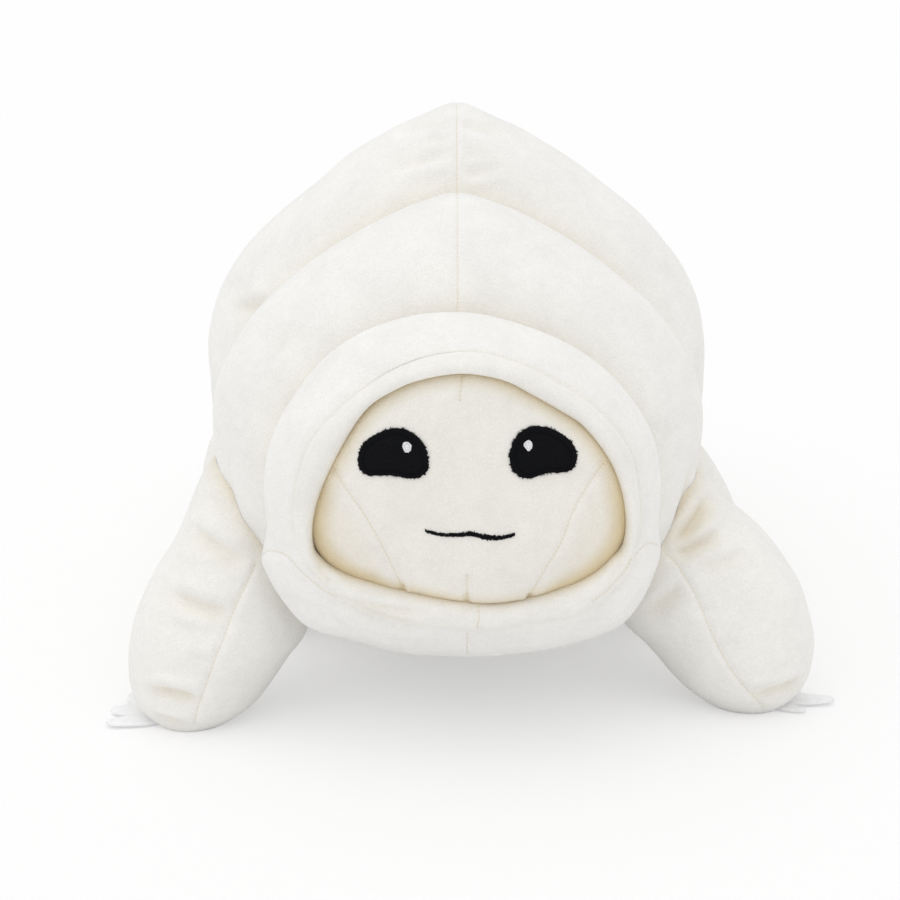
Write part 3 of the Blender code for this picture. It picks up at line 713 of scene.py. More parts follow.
def hood_centre():
    """The point (x, z) about which the hood and the face are turned: the middle of the head's solid."""
    low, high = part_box("head")
    return (low.x + high.x) / 2, (low.z + high.z) / 2


def face_lines(count):
    """Radii of the hood's fold, its rim line, its opening and the pocket behind it, each as one row."""
    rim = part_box("hood")[0].y
    centre = hood_centre()
    fold = round_radius(placed(closed_line(OUTER_FOLD), rim + FOLD_BACK), centre, count)
    line = round_radius(placed(closed_line(RIM_LINE), rim + RIM_LINE_BACK), centre, count, 21)
    edge = placed(closed_line(OPENING), rim + OPENING_BACK)
    opening = round_radius(edge, centre, count, 7)
    pocket = round_radius(edge, centre, count, 41) + POCKET_WIDER
    return fold[None, :], line[None, :], opening[None, :], pocket[None, :]


def round_grid(radius, y, centre):
    """Points at a radius and a y about the face's centre, for the turns of the columns."""
    turn = turns(radius.shape[1])
    x = centre[0] + radius * np.cos(turn)
    z = centre[1] + radius * np.sin(turn)
    return np.stack([x, y + np.zeros_like(x), z], axis=-1)


def neck_radius(columns, centre):
    """Radius of the neck, the crease behind the hood, about the face's centre."""
    x, z = outline(body_sections()["shoulder_ring"][0], turns(1440))
    return radius_at(x.ravel(), z.ravel(), centre, turns(columns))


def hood_mesh(columns=440):
    """The hood, a tube turned about the face: out from the neck in a quarter ellipse, over a crisp fold, down
    the swelling band in front, round the rolled rim in half an ellipse, and back along the pocket."""
    cover = settings()[0]
    centre = hood_centre()
    rim, back = (corner.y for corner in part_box("hood"))
    fold_y, line_y = rim + FOLD_BACK, rim + cover.rim_roll
    fold, line, opening, pocket = face_lines(columns)
    neck = neck_radius(columns, centre)
    a, b, c, d, e = (np.linspace(0, 1, count)[:, None] for count in HOOD_ROWS)
    b, c, d, e = b[1:], c[1:], d[1:], e[1:-1]
    outer_y = back - (back - fold_y) * (1 - np.cos(np.pi / 2 * a))
    swell = cover.band_swell * np.sin(np.pi * b) ** 0.8
    slope = np.hypot(fold - line, fold_y - line_y)
    band_r = fold + (line - fold) * b + swell * (fold_y - line_y) / slope
    band_y = fold_y + (line_y - fold_y) * b - swell * (fold - line) / slope
    half = (line - opening) / 2
    roll_y = line_y - cover.rim_roll * np.sin(np.pi * c) ** 0.7
    inside_r = opening + (pocket - opening) * quarter(np.clip(d * 6, 0, 1))
    grid = np.concatenate([
        round_grid(neck + (fold - neck) * quarter(a), outer_y, centre),
        round_grid(band_r, band_y, centre),
        round_grid(opening + half * (1 + np.cos(np.pi * c)), roll_y, centre),
        round_grid(inside_r, line_y + (back - line_y) * d, centre),
        round_grid(pocket + (neck - pocket) * e, back + 0 * e, centre),
    ])
    # Painted shade: near the neck, in the dip where the band meets the rim, over the roll towards the opening,
    # and all through the pocket
    rolled_shade = 0.2 * np.exp(-c * 9) + 0.16 * eased(c * 4) + 0.6 * eased(c * 3 - 2.1)
    hollow = [np.exp(-a * 5), 0.25 * np.exp(-(1 - b) * 16), rolled_shade, 1 + 0 * d, 1 + 0 * e]
    freedom = [eased(a * 2), 1 + 0 * b, 1 - eased(c * 2 - 1), 0 * d, 0 * e]
    return skin("hood", grid, True, hollow=np.concatenate(hollow), freedom=np.concatenate(freedom),
                across=1.0, along=0.0)


def head_mesh(columns=360):
    """The head: a dome y = deep - depth (1 - s^p)^(1/p) at share s of its radius, then straight to its back."""
    cover = settings()[0]
    centre = hood_centre()
    rim, back = (corner.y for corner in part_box("hood"))
    widest = face_lines(columns)[3] - cover.clearance
    deep, power = rim + FACE_BACK, cover.face_fullness
    share = quarter(np.linspace(0, 1, DOME_ROWS)[:, None])
    share[0] = CLOSING_SHARE
    dome = round_grid(widest * share, deep - cover.face_depth * (1 - share**power) ** (1 / power), centre)
    d = np.linspace(0, 1, 12)[1:, None]
    straight = round_grid(widest + 0 * d, deep + (back - deep) * d, centre)
    closing = shrunk(straight[-1:])[::-1]
    reach = np.concatenate([share, 1 + d, np.full((len(closing), 1), 2.0)])
    # Painted shade: faint over the whole face, deepening towards the opening's edge and full on the straight
    # part behind
    hollow = 0.23 + 0.77 * eased((reach - 0.80) / 0.20)
    freedom = 1 - eased((reach - 0.9) / 0.1)
    return skin("head", np.concatenate([dome, straight, closing]), hollow=hollow, freedom=freedom,
                across=1.0, along=0.0)


def arm_rows(arm, count=190):
    """(centres, half-widths as vectors) of an arm, at levels along the way it points in the photograph.

    Each section is as wide as the arm's two traced edges are apart at that level. The levels lie closer
    together at both ends, where it closes.
    """
    axis = np.array(arm.axis)
    edges = [smooth_line(edge, 500) for edge in (arm.outer, arm.inner)]
    levels = [np.maximum.accumulate(edge @ axis) for edge in edges]
    first, last = levels[0][0], levels[0][-1]
    way = bunched(*LEG_ENDS, count).ravel()
    at = first + (last - first) * way
    y = arm.depths[0] + (arm.depths[1] - arm.depths[0]) * way
    outer, inner = (placed(np.stack([np.interp(at, level, edge[:, k]) for k in (0, 1)], axis=1), y)
                    for level, edge in zip(levels, edges))
    return (outer + inner) / 2, (outer - inner) / 2


def bend_rows(name, count):
    """(centres, half-widths as vectors) of a leg behind, from inside the body to its sole.

    It runs along a bend (1-t)^2 root + 2t(1-t) knee + t^2 foot, swells from the shoulder, and is domed at
    both ends. It is fullest two thirds of the way down.
    """
    side = 1 if "left" in name else -1
    path = LEG_PATHS[name]
    full, shoulder = 0.66, 0.14
    t = bunched(*LEG_ENDS, count)
    root = np.array([side * path.root_x, path.root_y, path.root_z])
    foot = np.array([side * path.foot_x, path.foot_y, SOLE_Z])
    knee = np.array([side * path.knee_x, (path.root_y + path.foot_y) / 2, path.knee_z])
    centre = root * (1 - t) ** 2 + knee * 2 * t * (1 - t) + foot * t**2
    swell = 0.62 + 0.38 * quarter(np.minimum(t / full, 1))
    sole_dome = np.sqrt(1 - np.clip((t - full) / (1 - full), 0, 1) ** 2)
    domed = sole_dome * np.sqrt(1 - (1 - np.clip(t / shoulder, 0, 1)) ** 2)
    ahead = np.gradient(centre, axis=0)
    out = np.cross([0.0, 1.0, 0.0], ahead)
    out /= np.linalg.norm(out, axis=1)[:, None]
    out *= np.sign(out[:, :1] * side)
    return centre, out * path.radius * swell * domed


def leg_mesh(name):
    """A leg: ellipses along its rows, drawn in where it is sewn on, and flat where it stands."""
    arm, columns = name in ARMS, 260 if name in ARMS else 140
    centre, out = arm_rows(ARMS[name]) if arm else bend_rows(name, 120 if "second" in name else 90)
    radius = np.linalg.norm(out, axis=1)
    if arm:
        back = radius[:, None] * np.array([[0.0, LEG_DEPTH_SHARE, 0.0]])
    else:
        back = np.cross(np.gradient(centre, axis=0), out)
        back *= np.sign(back[:, 1:2])
        back *= (LEG_DEPTH_SHARE * radius / np.linalg.norm(back, axis=1))[:, None]
    turn = turns(columns)
    spoke = out[:, None] * np.cos(turn[..., None]) + back[:, None] * np.sin(turn[..., None])
    grid = centre[:, None] + spoke
    gap = body_gap(grid.reshape(-1, 3)).reshape(grid.shape[:2])
    outside = np.clip(gap, 0, None)
    draw = settings()[0].tuck * np.exp(-outside / 0.009)
    draw = np.minimum(draw / np.maximum(radius, 1e-4)[:, None], 0.3)
    grid = grid - spoke * draw[..., None]
    grid[..., 2] = np.maximum(grid[..., 2], 0.0)
    behind, before = ((turn - quarters * np.pi / 2) * radius[:, None] for quarters in (1, 3))
    if arm:
        seam = np.where(np.sin(turn) > 0, behind, 1.0)
    else:
        seam = np.where(np.abs(behind) < np.abs(before), behind, before)
    # Painted shade: faint over the whole leg, deepening where it is sewn onto the body
    hollow = 0.09 + 0.6 * np.exp(-outside / 0.0045)
    freedom = eased((gap + 0.005) / 0.007) * eased(grid[..., 2] / 0.004)
    return skin(name, grid, hollow=hollow, freedom=freedom, across=seam, along=travelled(centre)[:, None])


def cut_clear(mesh, cutters):
    """A leg's mesh with the space of its neighbours, grown by the clearance, taken out."""
    gap = settings()[0].clearance
    piece = bpy.data.objects.new("uncut_leg", mesh)
    bpy.context.scene.collection.objects.link(piece)
    grown = []
    for cutter in cutters:
        swollen = bpy.data.objects.new("grown", cutter.data.copy())
        bpy.context.scene.collection.objects.link(swollen)
        set_points(swollen.data, points_of(swollen.data) + normals_of(swollen.data) * gap)
        boolean = piece.modifiers.new("clear", "BOOLEAN")
        boolean.operation = "DIFFERENCE"
        boolean.solver = "MANIFOLD"
        boolean.object = swollen
        grown.append(swollen)
    graph = bpy.context.evaluated_depsgraph_get()
    made = bpy.data.meshes.new_from_object(piece.evaluated_get(graph))
    for spare in (piece, *grown):
        bpy.data.objects.remove(spare)
    return made


def facing(points, normals):
    """How squarely each point faces the camera, below 0 where it faces away."""
    sight = camera_place() - points
    sight /= np.linalg.norm(sight, axis=1)[:, None]
    return (normals * sight).sum(1)


def press_folds(name, points, at, pixel, front, move, hollow):
    """Takes a piece's folds and dents out of its moves, and paints shade into the folds.

    A fold is a groove exp(-(d/w)^2) that is steep on its upper side, where the cloth above it bulges over it in
    a lip half as high, and it fades out at both ends.
    """
    for start, end, sag, depth, half in FOLDS.get(name, ()):
        across, _, share = near_line(at, sagging_line(start, end, sag))
        above = across * pixel * (1 if end[0] >= start[0] else -1) / (half * MM)
        ends = eased(share * 3) * eased((1 - share) * 3) * front
        groove = bell(above, np.where(above > 0, 0.5, 1.2))
        lip = 0.5 * bell(above - 1.3, 0.8)
        move -= depth * MM * (groove - lip) * ends
        # Painted shade in the fold's groove, deeper for a deeper fold
        hollow += 0.055 * depth**1.3 * bell(above, np.where(above > 0, 0.45, 1.3)) * ends
    low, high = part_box(name)
    for place, radius, depth in DENTS.get(name, ()):
        away = np.linalg.norm(points - placed([place], (low.y + high.y) / 2), axis=1)
        move -= depth * MM * bell(away, radius * MM)


def press_cheeks(seams, at, pixel, front, move, hollow):
    """Lowers the cheeks on the outer sides of the face's two long seams, and paints warm shade onto them."""
    for seam, outer in zip(seams, (-1, 1)):
        across, _, share = near_line(at, smooth_line(seam))
        beyond = np.clip(across * outer * pixel, 0, None)
        fallen = eased(beyond / 0.012) * front * eased(share * 5) * eased((1 - share) * 5)
        move -= settings()[0].cheek_fall * fallen
        # Painted warm shade on the fallen cheeks
        hollow += 0.15 * fallen


def pressed(mesh, name, photo_seams=()):
    """Presses a cover's lumps, folds and seams into it along its normals, and keeps where its seams run.

    A seam is a groove exp(-(d/w)^2). All of this fades out where the cover isn't free.
    """
    cover = settings()[0]
    points, normals = points_of(mesh), normals_of(mesh)
    at, pixel = seen_at(points)
    front = eased(facing(points, normals) * 5)
    chance = sum(map(ord, name))
    move = cover.lump_height * (lumps(points, 0.09, chance) + 0.45 * lumps(points, 0.035, chance + 1))
    hollow, side, run, freedom = (get_attribute(mesh, key) for key in ("hollow", "across", "along", "freedom"))
    press_folds(name, points, at, pixel, front, move, hollow)
    near = bell(side, SEAM_REACH)
    move -= cover.seam_depth * bell(side, cover.seam_half_width)
    for seam in photo_seams:
        across, along, share = near_line(at, smooth_line(seam))
        across, along = across * pixel, along * pixel
        reach = front * eased(share * 16 + 0.3) * eased((1 - share) * 16 + 0.3)
        closer = reach * bell(across, SEAM_REACH)
        mine = closer > near
        near, side, run = (np.where(mine, *pair) for pair in ((closer, near), (across, side), (along, run)))
        move -= cover.seam_depth * bell(across, cover.seam_half_width) * reach
    if name == "head":
        press_cheeks(photo_seams[:2], at, pixel, front, move, hollow)
    points = points + normals * (move * freedom)[:, None]
    points[:, 2] = np.maximum(points[:, 2], 0.0)
    set_points(mesh, points)
    # The painted shade amounts go to the material with the seam marks
    marks = {"hollow": np.clip(hollow, 0, 1), "seam_near": near, "seam_across": side, "seam_along": run}
    for key, values in marks.items():
        set_attribute(mesh, key, values)
    return mesh


# Materials

def attach(tree, made, inputs):
    """Gives a node's inputs their numbers, or links them to other nodes' outputs."""
    for key, value in inputs.items():
        if isinstance(value, bpy.types.NodeSocket):
            tree.links.new(value, made.inputs[key])
        else:
            made.inputs[key].default_value = value


def node(tree, kind, inputs=None, output=0, **values):
    """Adds a shader node with its settings and links, and gives one of its outputs."""
    made = tree.nodes.new("ShaderNode" + kind)
    for key, value in values.items():
        setattr(made, key, value)
    attach(tree, made, inputs or {})
    return made.outputs[output]


def new_material(name):
    """(material, its node tree, its Principled shader), or no tree and shader where the material is there."""
    material = bpy.data.materials.get(name)
    if material:
        return material, None, None
    material = bpy.data.materials.new(name)
    material.use_nodes = True
    return material, material.node_tree, material.node_tree.nodes["Principled BSDF"]


def minky():
    """Knitted polyester minky with a short cut pile: matt, soft, pale at grazing angles, mottled by the nap."""
    cover, finish, _ = settings()
    material, tree, shader = new_material("cream_minky_pile")
    if tree is None:
        return material
    place = node(tree, "TexCoord", output="Object")
    # The nap lies in brushed patches of about 25 mm and strokes of about 5 mm, and pile tips show as a grain of
    # about 0.9 mm. Each is followed by how much it darkens and lightens the pile.
    mottle = 1.0
    for look, dark, light in (
        ({"Scale": 42.0, "Detail": 3.0, "Roughness": 0.55, "Distortion": 0.6}, 0.965, 1.02),
        ({"Scale": 190.0, "Detail": 2.0, "Roughness": 0.5}, 0.985, 1.012),
        ({"Scale": 1100.0, "Detail": 2.0, "Roughness": 0.6}, 0.95, 1.03),
    ):
        tips = node(tree, "TexNoise", {"Vector": place, **look}, "Fac")
        tone = node(tree, "MapRange", {0: tips, 1: 0.3, 2: 0.7, 3: dark, 4: light})
        mottle = node(tree, "Math", {0: mottle, 1: tone}, operation="MULTIPLY")
    along, across, near, crease = (
        node(tree, "Attribute", output="Fac", attribute_name=key)
        for key in ("seam_along", "seam_across", "seam_near", "hollow"))
    # Needle holes along the middle of a seam's groove, darkened as painted shade
    beside = node(tree, "Math", {0: across}, operation="ABSOLUTE")
    line = node(tree, "MapRange", {0: beside, 1: 0.0002, 2: 0.0007, 3: 1.0, 4: 0.0})
    count = node(tree, "Math", {0: along, 1: cover.stitch_length}, operation="DIVIDE")
    beat = node(tree, "Math", {0: count}, operation="FRACT")
    swing = node(tree, "Math", {0: beat, 1: 0.5}, operation="SUBTRACT")
    centre = node(tree, "Math", {0: swing}, operation="ABSOLUTE")
    hole = node(tree, "MapRange", {0: centre, 1: 0.14, 2: 0.34, 3: 1.0, 4: 0.0})
    dotted = node(tree, "Math", {0: line, 1: hole}, operation="MULTIPLY")
    # Painted shade along a seam: the needle holes darken to their shade colour and the groove's middle line to
    # the crease shade colour
    marks = []
    for where, strength in ((dotted, 0.10), (line, 0.21)):
        ranged = node(tree, "MapRange", {0: near, 1: 0.55, 2: 0.75, 3: 0.0, 4: strength})
        marks.append(node(tree, "Math", {0: where, 1: ranged}, operation="MULTIPLY"))
    stitch, groove = marks
    # Painted shade: the pile mixes towards the crease shade colour as far as the mesh's shade amounts say, at
    # most 0.8 of the way
    bent = node(tree, "Math", {0: crease, 1: 1.25}, operation="POWER")
    deep = node(tree, "MapRange", {0: bent, 1: 0.0, 2: 1.0, 3: 0.0, 4: 0.8})
    pile, hollow, needle_hole_shade = ((*colour, 1.0) for colour in (finish.pile, finish.hollow, finish.needle_hole_shade))
    shaded = node(tree, "Mix", {0: deep, 6: pile, 7: hollow}, 2, data_type="RGBA")
    lit = node(tree, "VectorMath", {0: shaded, 3: mottle}, operation="SCALE")
    seam_groove_shaded = node(tree, "Mix", {0: groove, 6: lit, 7: hollow}, 2, data_type="RGBA")
    sewn = node(tree, "Mix", {0: stitch, 6: seam_groove_shaded, 7: needle_hole_shade}, 2, data_type="RGBA")
    height = node(tree, "Math", {0: tips, 1: stitch}, operation="SUBTRACT")
    bump = node(tree, "Bump", {"Strength": 0.55, "Distance": cover.pile_height, "Height": height})
    attach(tree, shader, {"Base Color": sewn, "Normal": bump, "Roughness": 0.95, "Specular IOR Level": 0.15,
                          "Sheen Weight": 0.35, "Sheen Roughness": 0.45})
    return material


def felt():
    """Pressed polyester felt: flat, matt, with fine tangled fibres."""
    material, tree, shader = new_material("white_pressed_felt")
    if tree is None:
        return material
    place = node(tree, "TexCoord", output="Object")
    # Fibres tangle at about 0.8 mm, in clots of about 4 mm
    fibres = node(tree, "TexNoise", {"Vector": place, "Scale": 1300.0, "Detail": 4.0, "Distortion": 1.5}, "Fac")
    clots = node(tree, "TexNoise", {"Vector": place, "Scale": 240.0, "Detail": 2.0}, "Fac")
    tangle = node(tree, "Math", {0: fibres, 1: clots}, operation="MULTIPLY")
    tone = node(tree, "MapRange", {0: tangle, 1: 0.12, 2: 0.42, 3: 0.93, 4: 1.02})
    tinted = node(tree, "VectorMath", {0: tuple(settings()[1].felt), 3: tone}, operation="SCALE")
    bump = node(tree, "Bump", {"Strength": 0.5, "Distance": 0.0003, "Height": fibres})
    attach(tree, shader, {"Base Color": tinted, "Normal": bump, "Roughness": 0.98, "Specular IOR Level": 0.1,
                          "Sheen Weight": 0.2})
    return material


def thread(name, colour):
    """Rayon embroidery thread in dense satin stitch: a soft gloss, ridged across each stitch."""
    material, tree, shader = new_material(name)
    if tree is None:
        return material
    strand = node(tree, "Attribute", output="Fac", attribute_name="strand")
    swing = node(tree, "Math", {0: strand, 1: 2 * math.pi}, operation="MULTIPLY")
    ridge = node(tree, "Math", {0: swing}, operation="COSINE")
    place = node(tree, "TexCoord", output="Object")
    # Loose fibres of the thread fray at about 0.7 mm
    fuzz = node(tree, "TexNoise", {"Vector": place, "Scale": 1500.0, "Detail": 2.0}, "Fac")
    rough = node(tree, "Math", {0: fuzz, 1: 0.6}, operation="MULTIPLY")
    height = node(tree, "Math", {0: ridge, 1: rough}, operation="ADD")
    bump = node(tree, "Bump", {"Strength": 0.7, "Distance": 0.00025, "Height": height})
    # Painted highlight and shade on each stitch: lighter on its ridge, darker between stitches
    tone = node(tree, "MapRange", {0: ridge, 1: -1.0, 2: 1.0, 3: 0.93, 4: 1.12})
    tinted = node(tree, "VectorMath", {0: tuple(colour), 3: tone}, operation="SCALE")
    attach(tree, shader, {"Base Color": tinted, "Normal": bump, "Roughness": 0.62, "Specular IOR Level": 0.09})
    return material


# Embroidery

def face_y(x, z):
    """y of the dressed face above points (x, z): a mean, by closeness, of the planes of its front points."""
    mesh = bpy.data.objects["sewn_head"].data
    points, normals = points_of(mesh), normals_of(mesh)
    margin, blur = 0.008, 0.0015
    low = np.array([x.min(), z.min()]) - margin
    high = np.array([x.max(), z.max()]) + margin
    near = (normals[:, 1] < -0.3) & np.all((points[:, ::2] > low) & (points[:, ::2] < high), axis=1)
    points, normals = points[near], normals[near]
    flat_x, flat_z = x.ravel(), z.ravel()
    found = []
    for some_x, some_z in zip(np.array_split(flat_x, 40), np.array_split(flat_z, 40)):
        dx, dz = some_x[:, None] - points[:, 0], some_z[:, None] - points[:, 2]
        weight = np.exp(-(dx**2 + dz**2) / blur**2) + 1e-12
        plane = points[:, 1] - (normals[:, 0] * dx + normals[:, 2] * dz) / normals[:, 1]
        found.append((weight * plane).sum(1) / weight.sum(1))
    return np.concatenate(found).reshape(x.shape)


def on_face(pixels):
    """Points of the dressed face that show at pixels of the photograph."""
    points = placed(pixels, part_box("mouth")[0].y)
    for _ in range(3):
        points = placed(pixels, face_y(points[:, 0], points[:, 2]))
    return points


def satin_patch(name, material, slot, lift, thickness, seed, count=540):
    """A satin-stitched patch in its traced outline: a flat filling inside a raised edge of short stitches.

    From its middle outwards the height goes over the filling, down a thin groove, over the edge's crest and
    down to the cloth. The outline is as ragged as the ends of its stitches.
    """
    traced = on_face(closed_line(EYES[name]))
    flat = traced[:, ::2]
    centre = tuple((flat.min(axis=0) + flat.max(axis=0)) / 2)
    radius = round_radius(traced, centre, count, 5)
    chance = np.random.default_rng(seed)
    turn = turns(count).ravel()
    steps = np.hypot(radius * (turn[1] - turn[0]), np.gradient(radius))
    arc = np.cumsum(steps)
    stitches = round(arc[-1] / SATIN_STITCH)
    beat = arc / arc[-1] * stitches
    each = chance.normal(size=stitches + 1)[np.floor(beat).astype(int)]
    tooth = 1 - np.abs(2 * (beat % 1) - 1)
    rag = (0.0011 * tooth**1.2 * (0.55 + 0.4 * np.clip(each, -1, 1.6)) - 0.00022) * min(1, arc[-1] / 0.03)
    border = min(SATIN_BORDER, 0.5 * radius.min())
    shares = np.array([CLOSING_SHARE, 0.15, 0.3, 0.45, 0.6, 0.72, 0.82, 0.9, 0.96, 1.0])[:, None]
    inner = (radius - border)[None, :] * shares
    rise = 0.72 - 0.10 * eased((shares - 0.9) / 0.1) + 0 * inner
    out = np.linspace(0, 1, 14)[1:, None]
    outer = (radius - border) + (border + rag * eased(out * 2 - 1)) * out
    crest = 0.62 + 0.38 * np.sqrt(np.clip(1 - ((out - 0.45) / 0.55) ** 2, 0, 1))
    crest[-1] = -0.25
    r = np.concatenate([inner, outer])
    height = np.concatenate([rise, crest + 0 * outer]) * thickness
    x, z = centre[0] + r * np.cos(turn), centre[1] + r * np.sin(turn)
    y = face_y(x, z) - lift - height
    under_x, under_z = x[::-3], z[::-3]
    under = np.stack([under_x, face_y(under_x, under_z) - lift + 0.3 * thickness, under_z], axis=-1)
    grid = np.concatenate([np.stack([x, y, z], axis=-1), under])
    edge = np.concatenate([0 * inner, 1 + 0 * outer, 0 * under_x])
    strand = np.where(edge > 0, beat[None, :], (grid[..., 2] * 0.8 + grid[..., 0] * 0.6) / 0.0008)
    return shown(skin(name, grid, strand=strand), material, slot, name)


# Operators

class AddHood(bpy.types.Operator):
    """Dresses the hood, with its crisp fold and its rolled rim"""

    bl_idname = "tardigrade.add_hood"
    bl_label = "Add Hood"

    def execute(self, context):
        piece = shown(pressed(hood_mesh(), "hood", HOOD_SEAMS), minky(), "cream_minky", "hood")
        return {"FINISHED"}


class AddHead(bpy.types.Operator):
    """Dresses the head, whose face shows in the hood"""

    bl_idname = "tardigrade.add_head"
    bl_label = "Add Head"

    def execute(self, context):
        piece = shown(pressed(head_mesh(), "head", FACE_SEAMS), minky(), "cream_minky", "head")
        return {"FINISHED"}


class AddRings(bpy.types.Operator):
    """Dresses the four body rings"""

    bl_idname = "tardigrade.add_rings"
    bl_label = "Add Body Rings"

    def execute(self, context):
        for name in RINGS:
            shown(pressed(ring_mesh(name), name), minky(), "cream_minky", name)
        return {"FINISHED"}


class AddLegs(bpy.types.Operator):
    """Dresses the eight legs, each cut clear of the pieces that it is sewn to"""

    bl_idname = "tardigrade.add_legs"
    bl_label = "Add Legs"

    def execute(self, context):
        for name in LEGS:
            pair = PAIRS.index(name.split("_")[0])
            beside = (("hood",) if pair == 0 else ()) + RINGS[max(pair - 1, 0):pair + 1 + (pair == 0)]
            whole = pressed(leg_mesh(name), name, ARM_SEAMS.get(name, ()))
            mesh = cut_clear(whole, [bpy.data.objects["sewn_" + ring] for ring in beside])
            shown(mesh, minky(), "cream_minky", name)
        return {"FINISHED"}


class AddClaws(bpy.types.Operator):
    """Adds the felt claws, three to a foot"""

    bl_idname = "tardigrade.add_claws"
    bl_label = "Add Claws"

    def execute(self, context):
        for leg in LEGS:
            for number in (1, 2, 3):
                self.claw(f"{leg}_claw_{number}", leg)
        return {"FINISHED"}

    def claw(self, name, leg, rows=26, columns=20):
        """A flat claw: at share t of its length its section is a flattened ring, rounded at the edges.

        Half-width is that of the solid there, thickness is even, and it curls up a little towards its tip.
        """
        solid = points_of(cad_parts[name].data)
        foot = points_of(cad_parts[leg].data)
        foot = foot[foot[:, 2] < 0.01].mean(0)
        flat = solid[:, :2] - foot[:2]
        reach = np.linalg.norm(flat, axis=1)
        tip = flat[reach > reach.max() - 0.002].mean(0)
        ahead = tip / np.linalg.norm(tip)
        root = (flat @ ahead).min()
        length = reach.max() - root
        beside = np.array([-ahead[1], ahead[0]])
        low, high = solid[:, 2].min(), solid[:, 2].max()
        wide = np.abs(flat @ beside).max()
        t = np.linspace(0, 1, rows)[:, None]
        turn = turns(columns)
        widest = wide * (1.15 - 0.70 * np.clip((t - 0.45) / 0.55, 0, 1) ** 1.3)
        half = widest * np.sqrt(np.clip(1 - np.clip((t - 0.93) / 0.07, 0, 1) ** 2, 0, 1)) + 1e-5
        thick = (high - low) / 2 * (1 - 0.5 * np.clip((t - 0.3) / 0.7, 0, 1))
        curl = np.random.default_rng(sum(map(ord, name))).uniform(0.0006, 0.0022) * t**2
        side = half * signed_power(np.cos(turn), FELT_EDGE)
        z = low + thick + thick * signed_power(np.sin(turn), FELT_EDGE) + curl
        place = foot[:2] + ahead * (root + length * t)[..., None] + beside * side[..., None]
        points = np.concatenate([place, z[..., None]], axis=-1)
        shown(skin(name, points), felt(), "white_felt", name)


class AddFace(bpy.types.Operator):
    """Embroiders the eyes, their glints and the mouth"""

    bl_idname = "tardigrade.add_face"
    bl_label = "Add Face Embroidery"

    def execute(self, context):
        finish = context.scene.plush_finish
        black = thread("black_rayon_satin_stitch", finish.black_thread)
        white = thread("white_rayon_satin_stitch", finish.white_thread)
        for seed, side in enumerate(("left", "right")):
            satin_patch(side + "_eye", black, "black_thread", 0.0002, 0.0009, seed)
            satin_patch(side + "_eye_glint", white, "white_thread", 0.0007, 0.0006, seed + 5, 60)
        self.mouth(black)
        return {"FINISHED"}

    def mouth(self, material, steps=260, columns=16):
        """A satin-stitched line: a low half-round section along the mouth, ragged at its edges."""
        line = on_face(smooth_line(MOUTH, steps))
        share = np.linspace(-1, 1, steps)
        chance = np.random.default_rng(3)
        half = 0.00062 + 0.00052 * (1 - share**2) ** 0.5 + 0.00016 * np.sin(np.pi * share)
        rag = 1 + 0.22 * chance.normal(size=(steps // 2, 2)).repeat(2, axis=0)
        turn = turns(columns)
        z = line[:, 2:] + half[:, None] * np.where(np.sin(turn) > 0, rag[:, :1], rag[:, 1:]) * np.sin(turn)
        x = line[:, :1] + 0 * z
        y = face_y(x, z) - 0.0009 * np.clip(np.cos(turn), -0.2, 1)
        mesh = skin("mouth", np.stack([x, y, z], axis=-1), strand=x / MOUTH_STITCH)
        shown(mesh, material, "black_thread", "mouth")


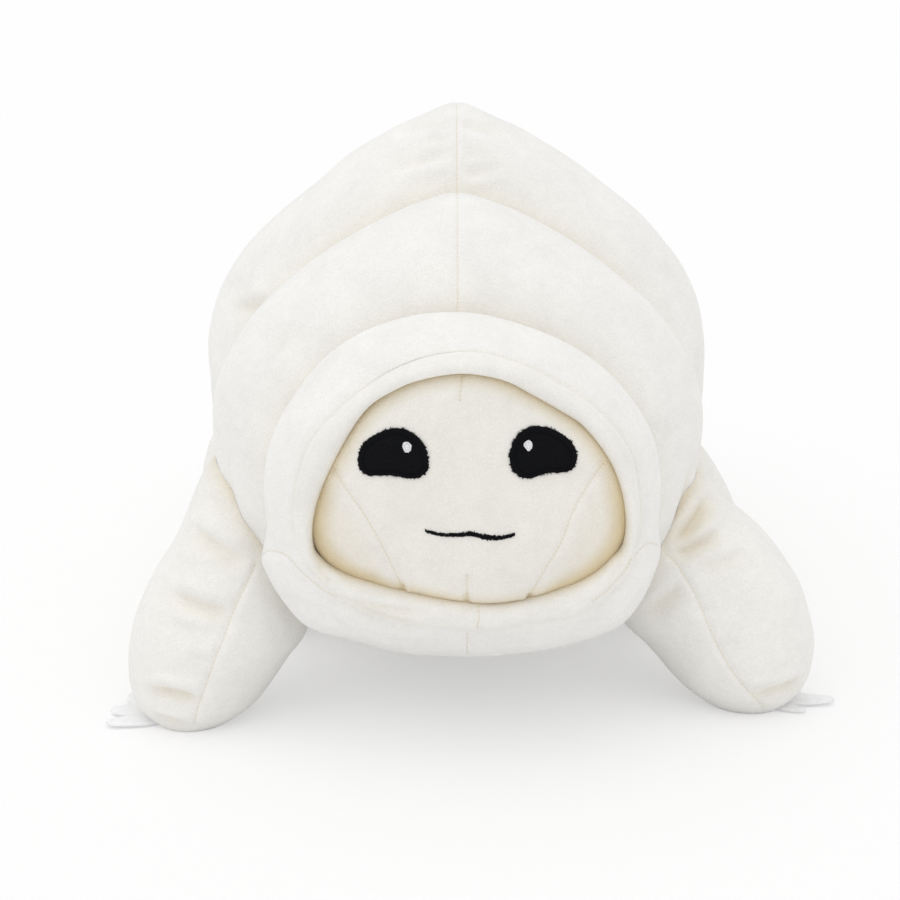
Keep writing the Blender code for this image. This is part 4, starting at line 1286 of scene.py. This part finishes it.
class SetStage(bpy.types.Operator):
    """Puts the toy on a pale floor in soft studio light, and sets the camera"""

    bl_idname = "tardigrade.set_stage"
    bl_label = "Set Stage"

    def execute(self, context):
        scene, stage = context.scene, context.scene.plush_stage
        self.camera(scene, stage)
        self.floor(scene, stage)
        self.sky_panel(scene)
        self.world(scene)
        scene.view_settings.view_transform = "Standard"
        return {"FINISHED"}

    def camera(self, scene, stage):
        """The photograph's camera, as worked out for seen_at."""
        camera = bpy.data.cameras.new("photo_camera")
        camera.sensor_width = 36.0
        camera.lens = stage.focal_pixels / PHOTO_SIDE * camera.sensor_width
        holder = bpy.data.objects.new("photo_camera", camera)
        holder.location = camera_place()
        holder.rotation_euler = (math.pi / 2 - stage.camera_pitch, 0.0, 0.0)
        scene.collection.objects.link(holder)
        scene.camera = holder

    def floor(self, scene, stage):
        """A wide flat floor."""
        side = 8.0
        corners = np.array([[-side, -side, 0], [side, -side, 0], [side, side, 0], [-side, side, 0]])
        mesh = bpy.data.meshes.new("floor")
        mesh.from_pydata(corners.tolist(), [], [(0, 1, 2, 3)])
        floor = bpy.data.objects.new("floor", mesh)
        mesh.materials.append(self.floor_material(stage))
        scene.collection.objects.link(floor)

    def floor_material(self, stage):
        """A lit acrylic table: to the camera it is part white glow and part diffuse, so that the toy's shadow
        stays pale, and to other rays it is plain diffuse."""
        material, tree, shader = new_material("pale_studio_floor")
        attach(tree, shader, {"Base Color": (*stage.floor, 1.0), "Roughness": 0.9, "Specular IOR Level": 0.0})
        sight = node(tree, "LightPath", output="Is Camera Ray")
        share = node(tree, "Math", {0: sight, 1: FLOOR_GLOW}, operation="MULTIPLY")
        glow = node(tree, "Emission", {"Color": WHITE, "Strength": 1.0})
        both = node(tree, "MixShader", {0: share, 1: shader.outputs[0], 2: glow})
        attach(tree, tree.nodes["Material Output"], {"Surface": both})
        return material

    def sky_panel(self, scene):
        """A wide soft panel overhead, a little in front and to the left: a sun with a wide disc."""
        light = bpy.data.lights.new("sky_panel", "SUN")
        light.energy = PANEL_STRENGTH
        light.angle = PANEL_DISC
        holder = bpy.data.objects.new("sky_panel", light)
        holder.rotation_euler = (PANEL_TILT, -PANEL_TILT, 0.0)
        scene.collection.objects.link(holder)

    def world(self, scene):
        """White round the stage: plain fill light for surfaces, and pure white for the camera."""
        world = bpy.data.worlds.new("studio")
        world.use_nodes = True
        tree = world.node_tree
        tree.nodes.clear()
        camera, glossy = (node(tree, "LightPath", output=ray) for ray in ("Is Camera Ray", "Is Glossy Ray"))
        seen = node(tree, "Math", {0: camera, 1: glossy}, operation="MAXIMUM")
        fill, white = (
            node(tree, "Background", {"Color": WHITE, "Strength": strength}) for strength in (FILL, BACKGROUND))
        both = node(tree, "MixShader", {0: seen, 1: fill, 2: white})
        attach(tree, tree.nodes.new("ShaderNodeOutputWorld"), {"Surface": both})
        scene.world = world


OPERATORS = (AddHood, AddHead, AddRings, AddLegs, AddClaws, AddFace, SetStage)


class TardigradePanel(bpy.types.Panel):
    """Settings and steps of the plush tardigrade"""

    bl_idname = "VIEW3D_PT_tardigrade"
    bl_label = "Plush Tardigrade"
    bl_space_type = "VIEW_3D"
    bl_region_type = "UI"
    bl_category = "Tardigrade"

    def draw(self, context):
        scene = context.scene
        for group in (scene.plush_cover, scene.plush_finish, scene.plush_stage):
            column = self.layout.column()
            for key in group.__annotations__:
                column.prop(group, key)
        for operator in OPERATORS:
            self.layout.operator(operator.bl_idname)


GROUPS = (CoverSettings, FinishSettings, StageSettings)
POINTERS = ("plush_cover", "plush_finish", "plush_stage")


def register():
    for group in GROUPS + OPERATORS + (TardigradePanel,):
        bpy.utils.register_class(group)
    for name, group in zip(POINTERS, GROUPS):
        setattr(bpy.types.Scene, name, PointerProperty(type=group))


def unregister():
    for name in POINTERS:
        delattr(bpy.types.Scene, name)
    for group in reversed(GROUPS + OPERATORS + (TardigradePanel,)):
        bpy.utils.unregister_class(group)


def clear_start_scene():
    """Removes what Blender starts with, so that only the frame is there."""
    for name in ("Cube", "Light", "Camera"):
        old = bpy.data.objects.get(name)
        if old:
            bpy.data.objects.remove(old)


def main():
    clear_start_scene()
    register()
    bpy.ops.tardigrade.add_hood()
    bpy.ops.tardigrade.add_head()
    bpy.ops.tardigrade.add_rings()
    bpy.ops.tardigrade.add_legs()
    bpy.ops.tardigrade.add_claws()
    bpy.ops.tardigrade.add_face()
    bpy.ops.tardigrade.set_stage()


if __name__ == "__main__":
    main()
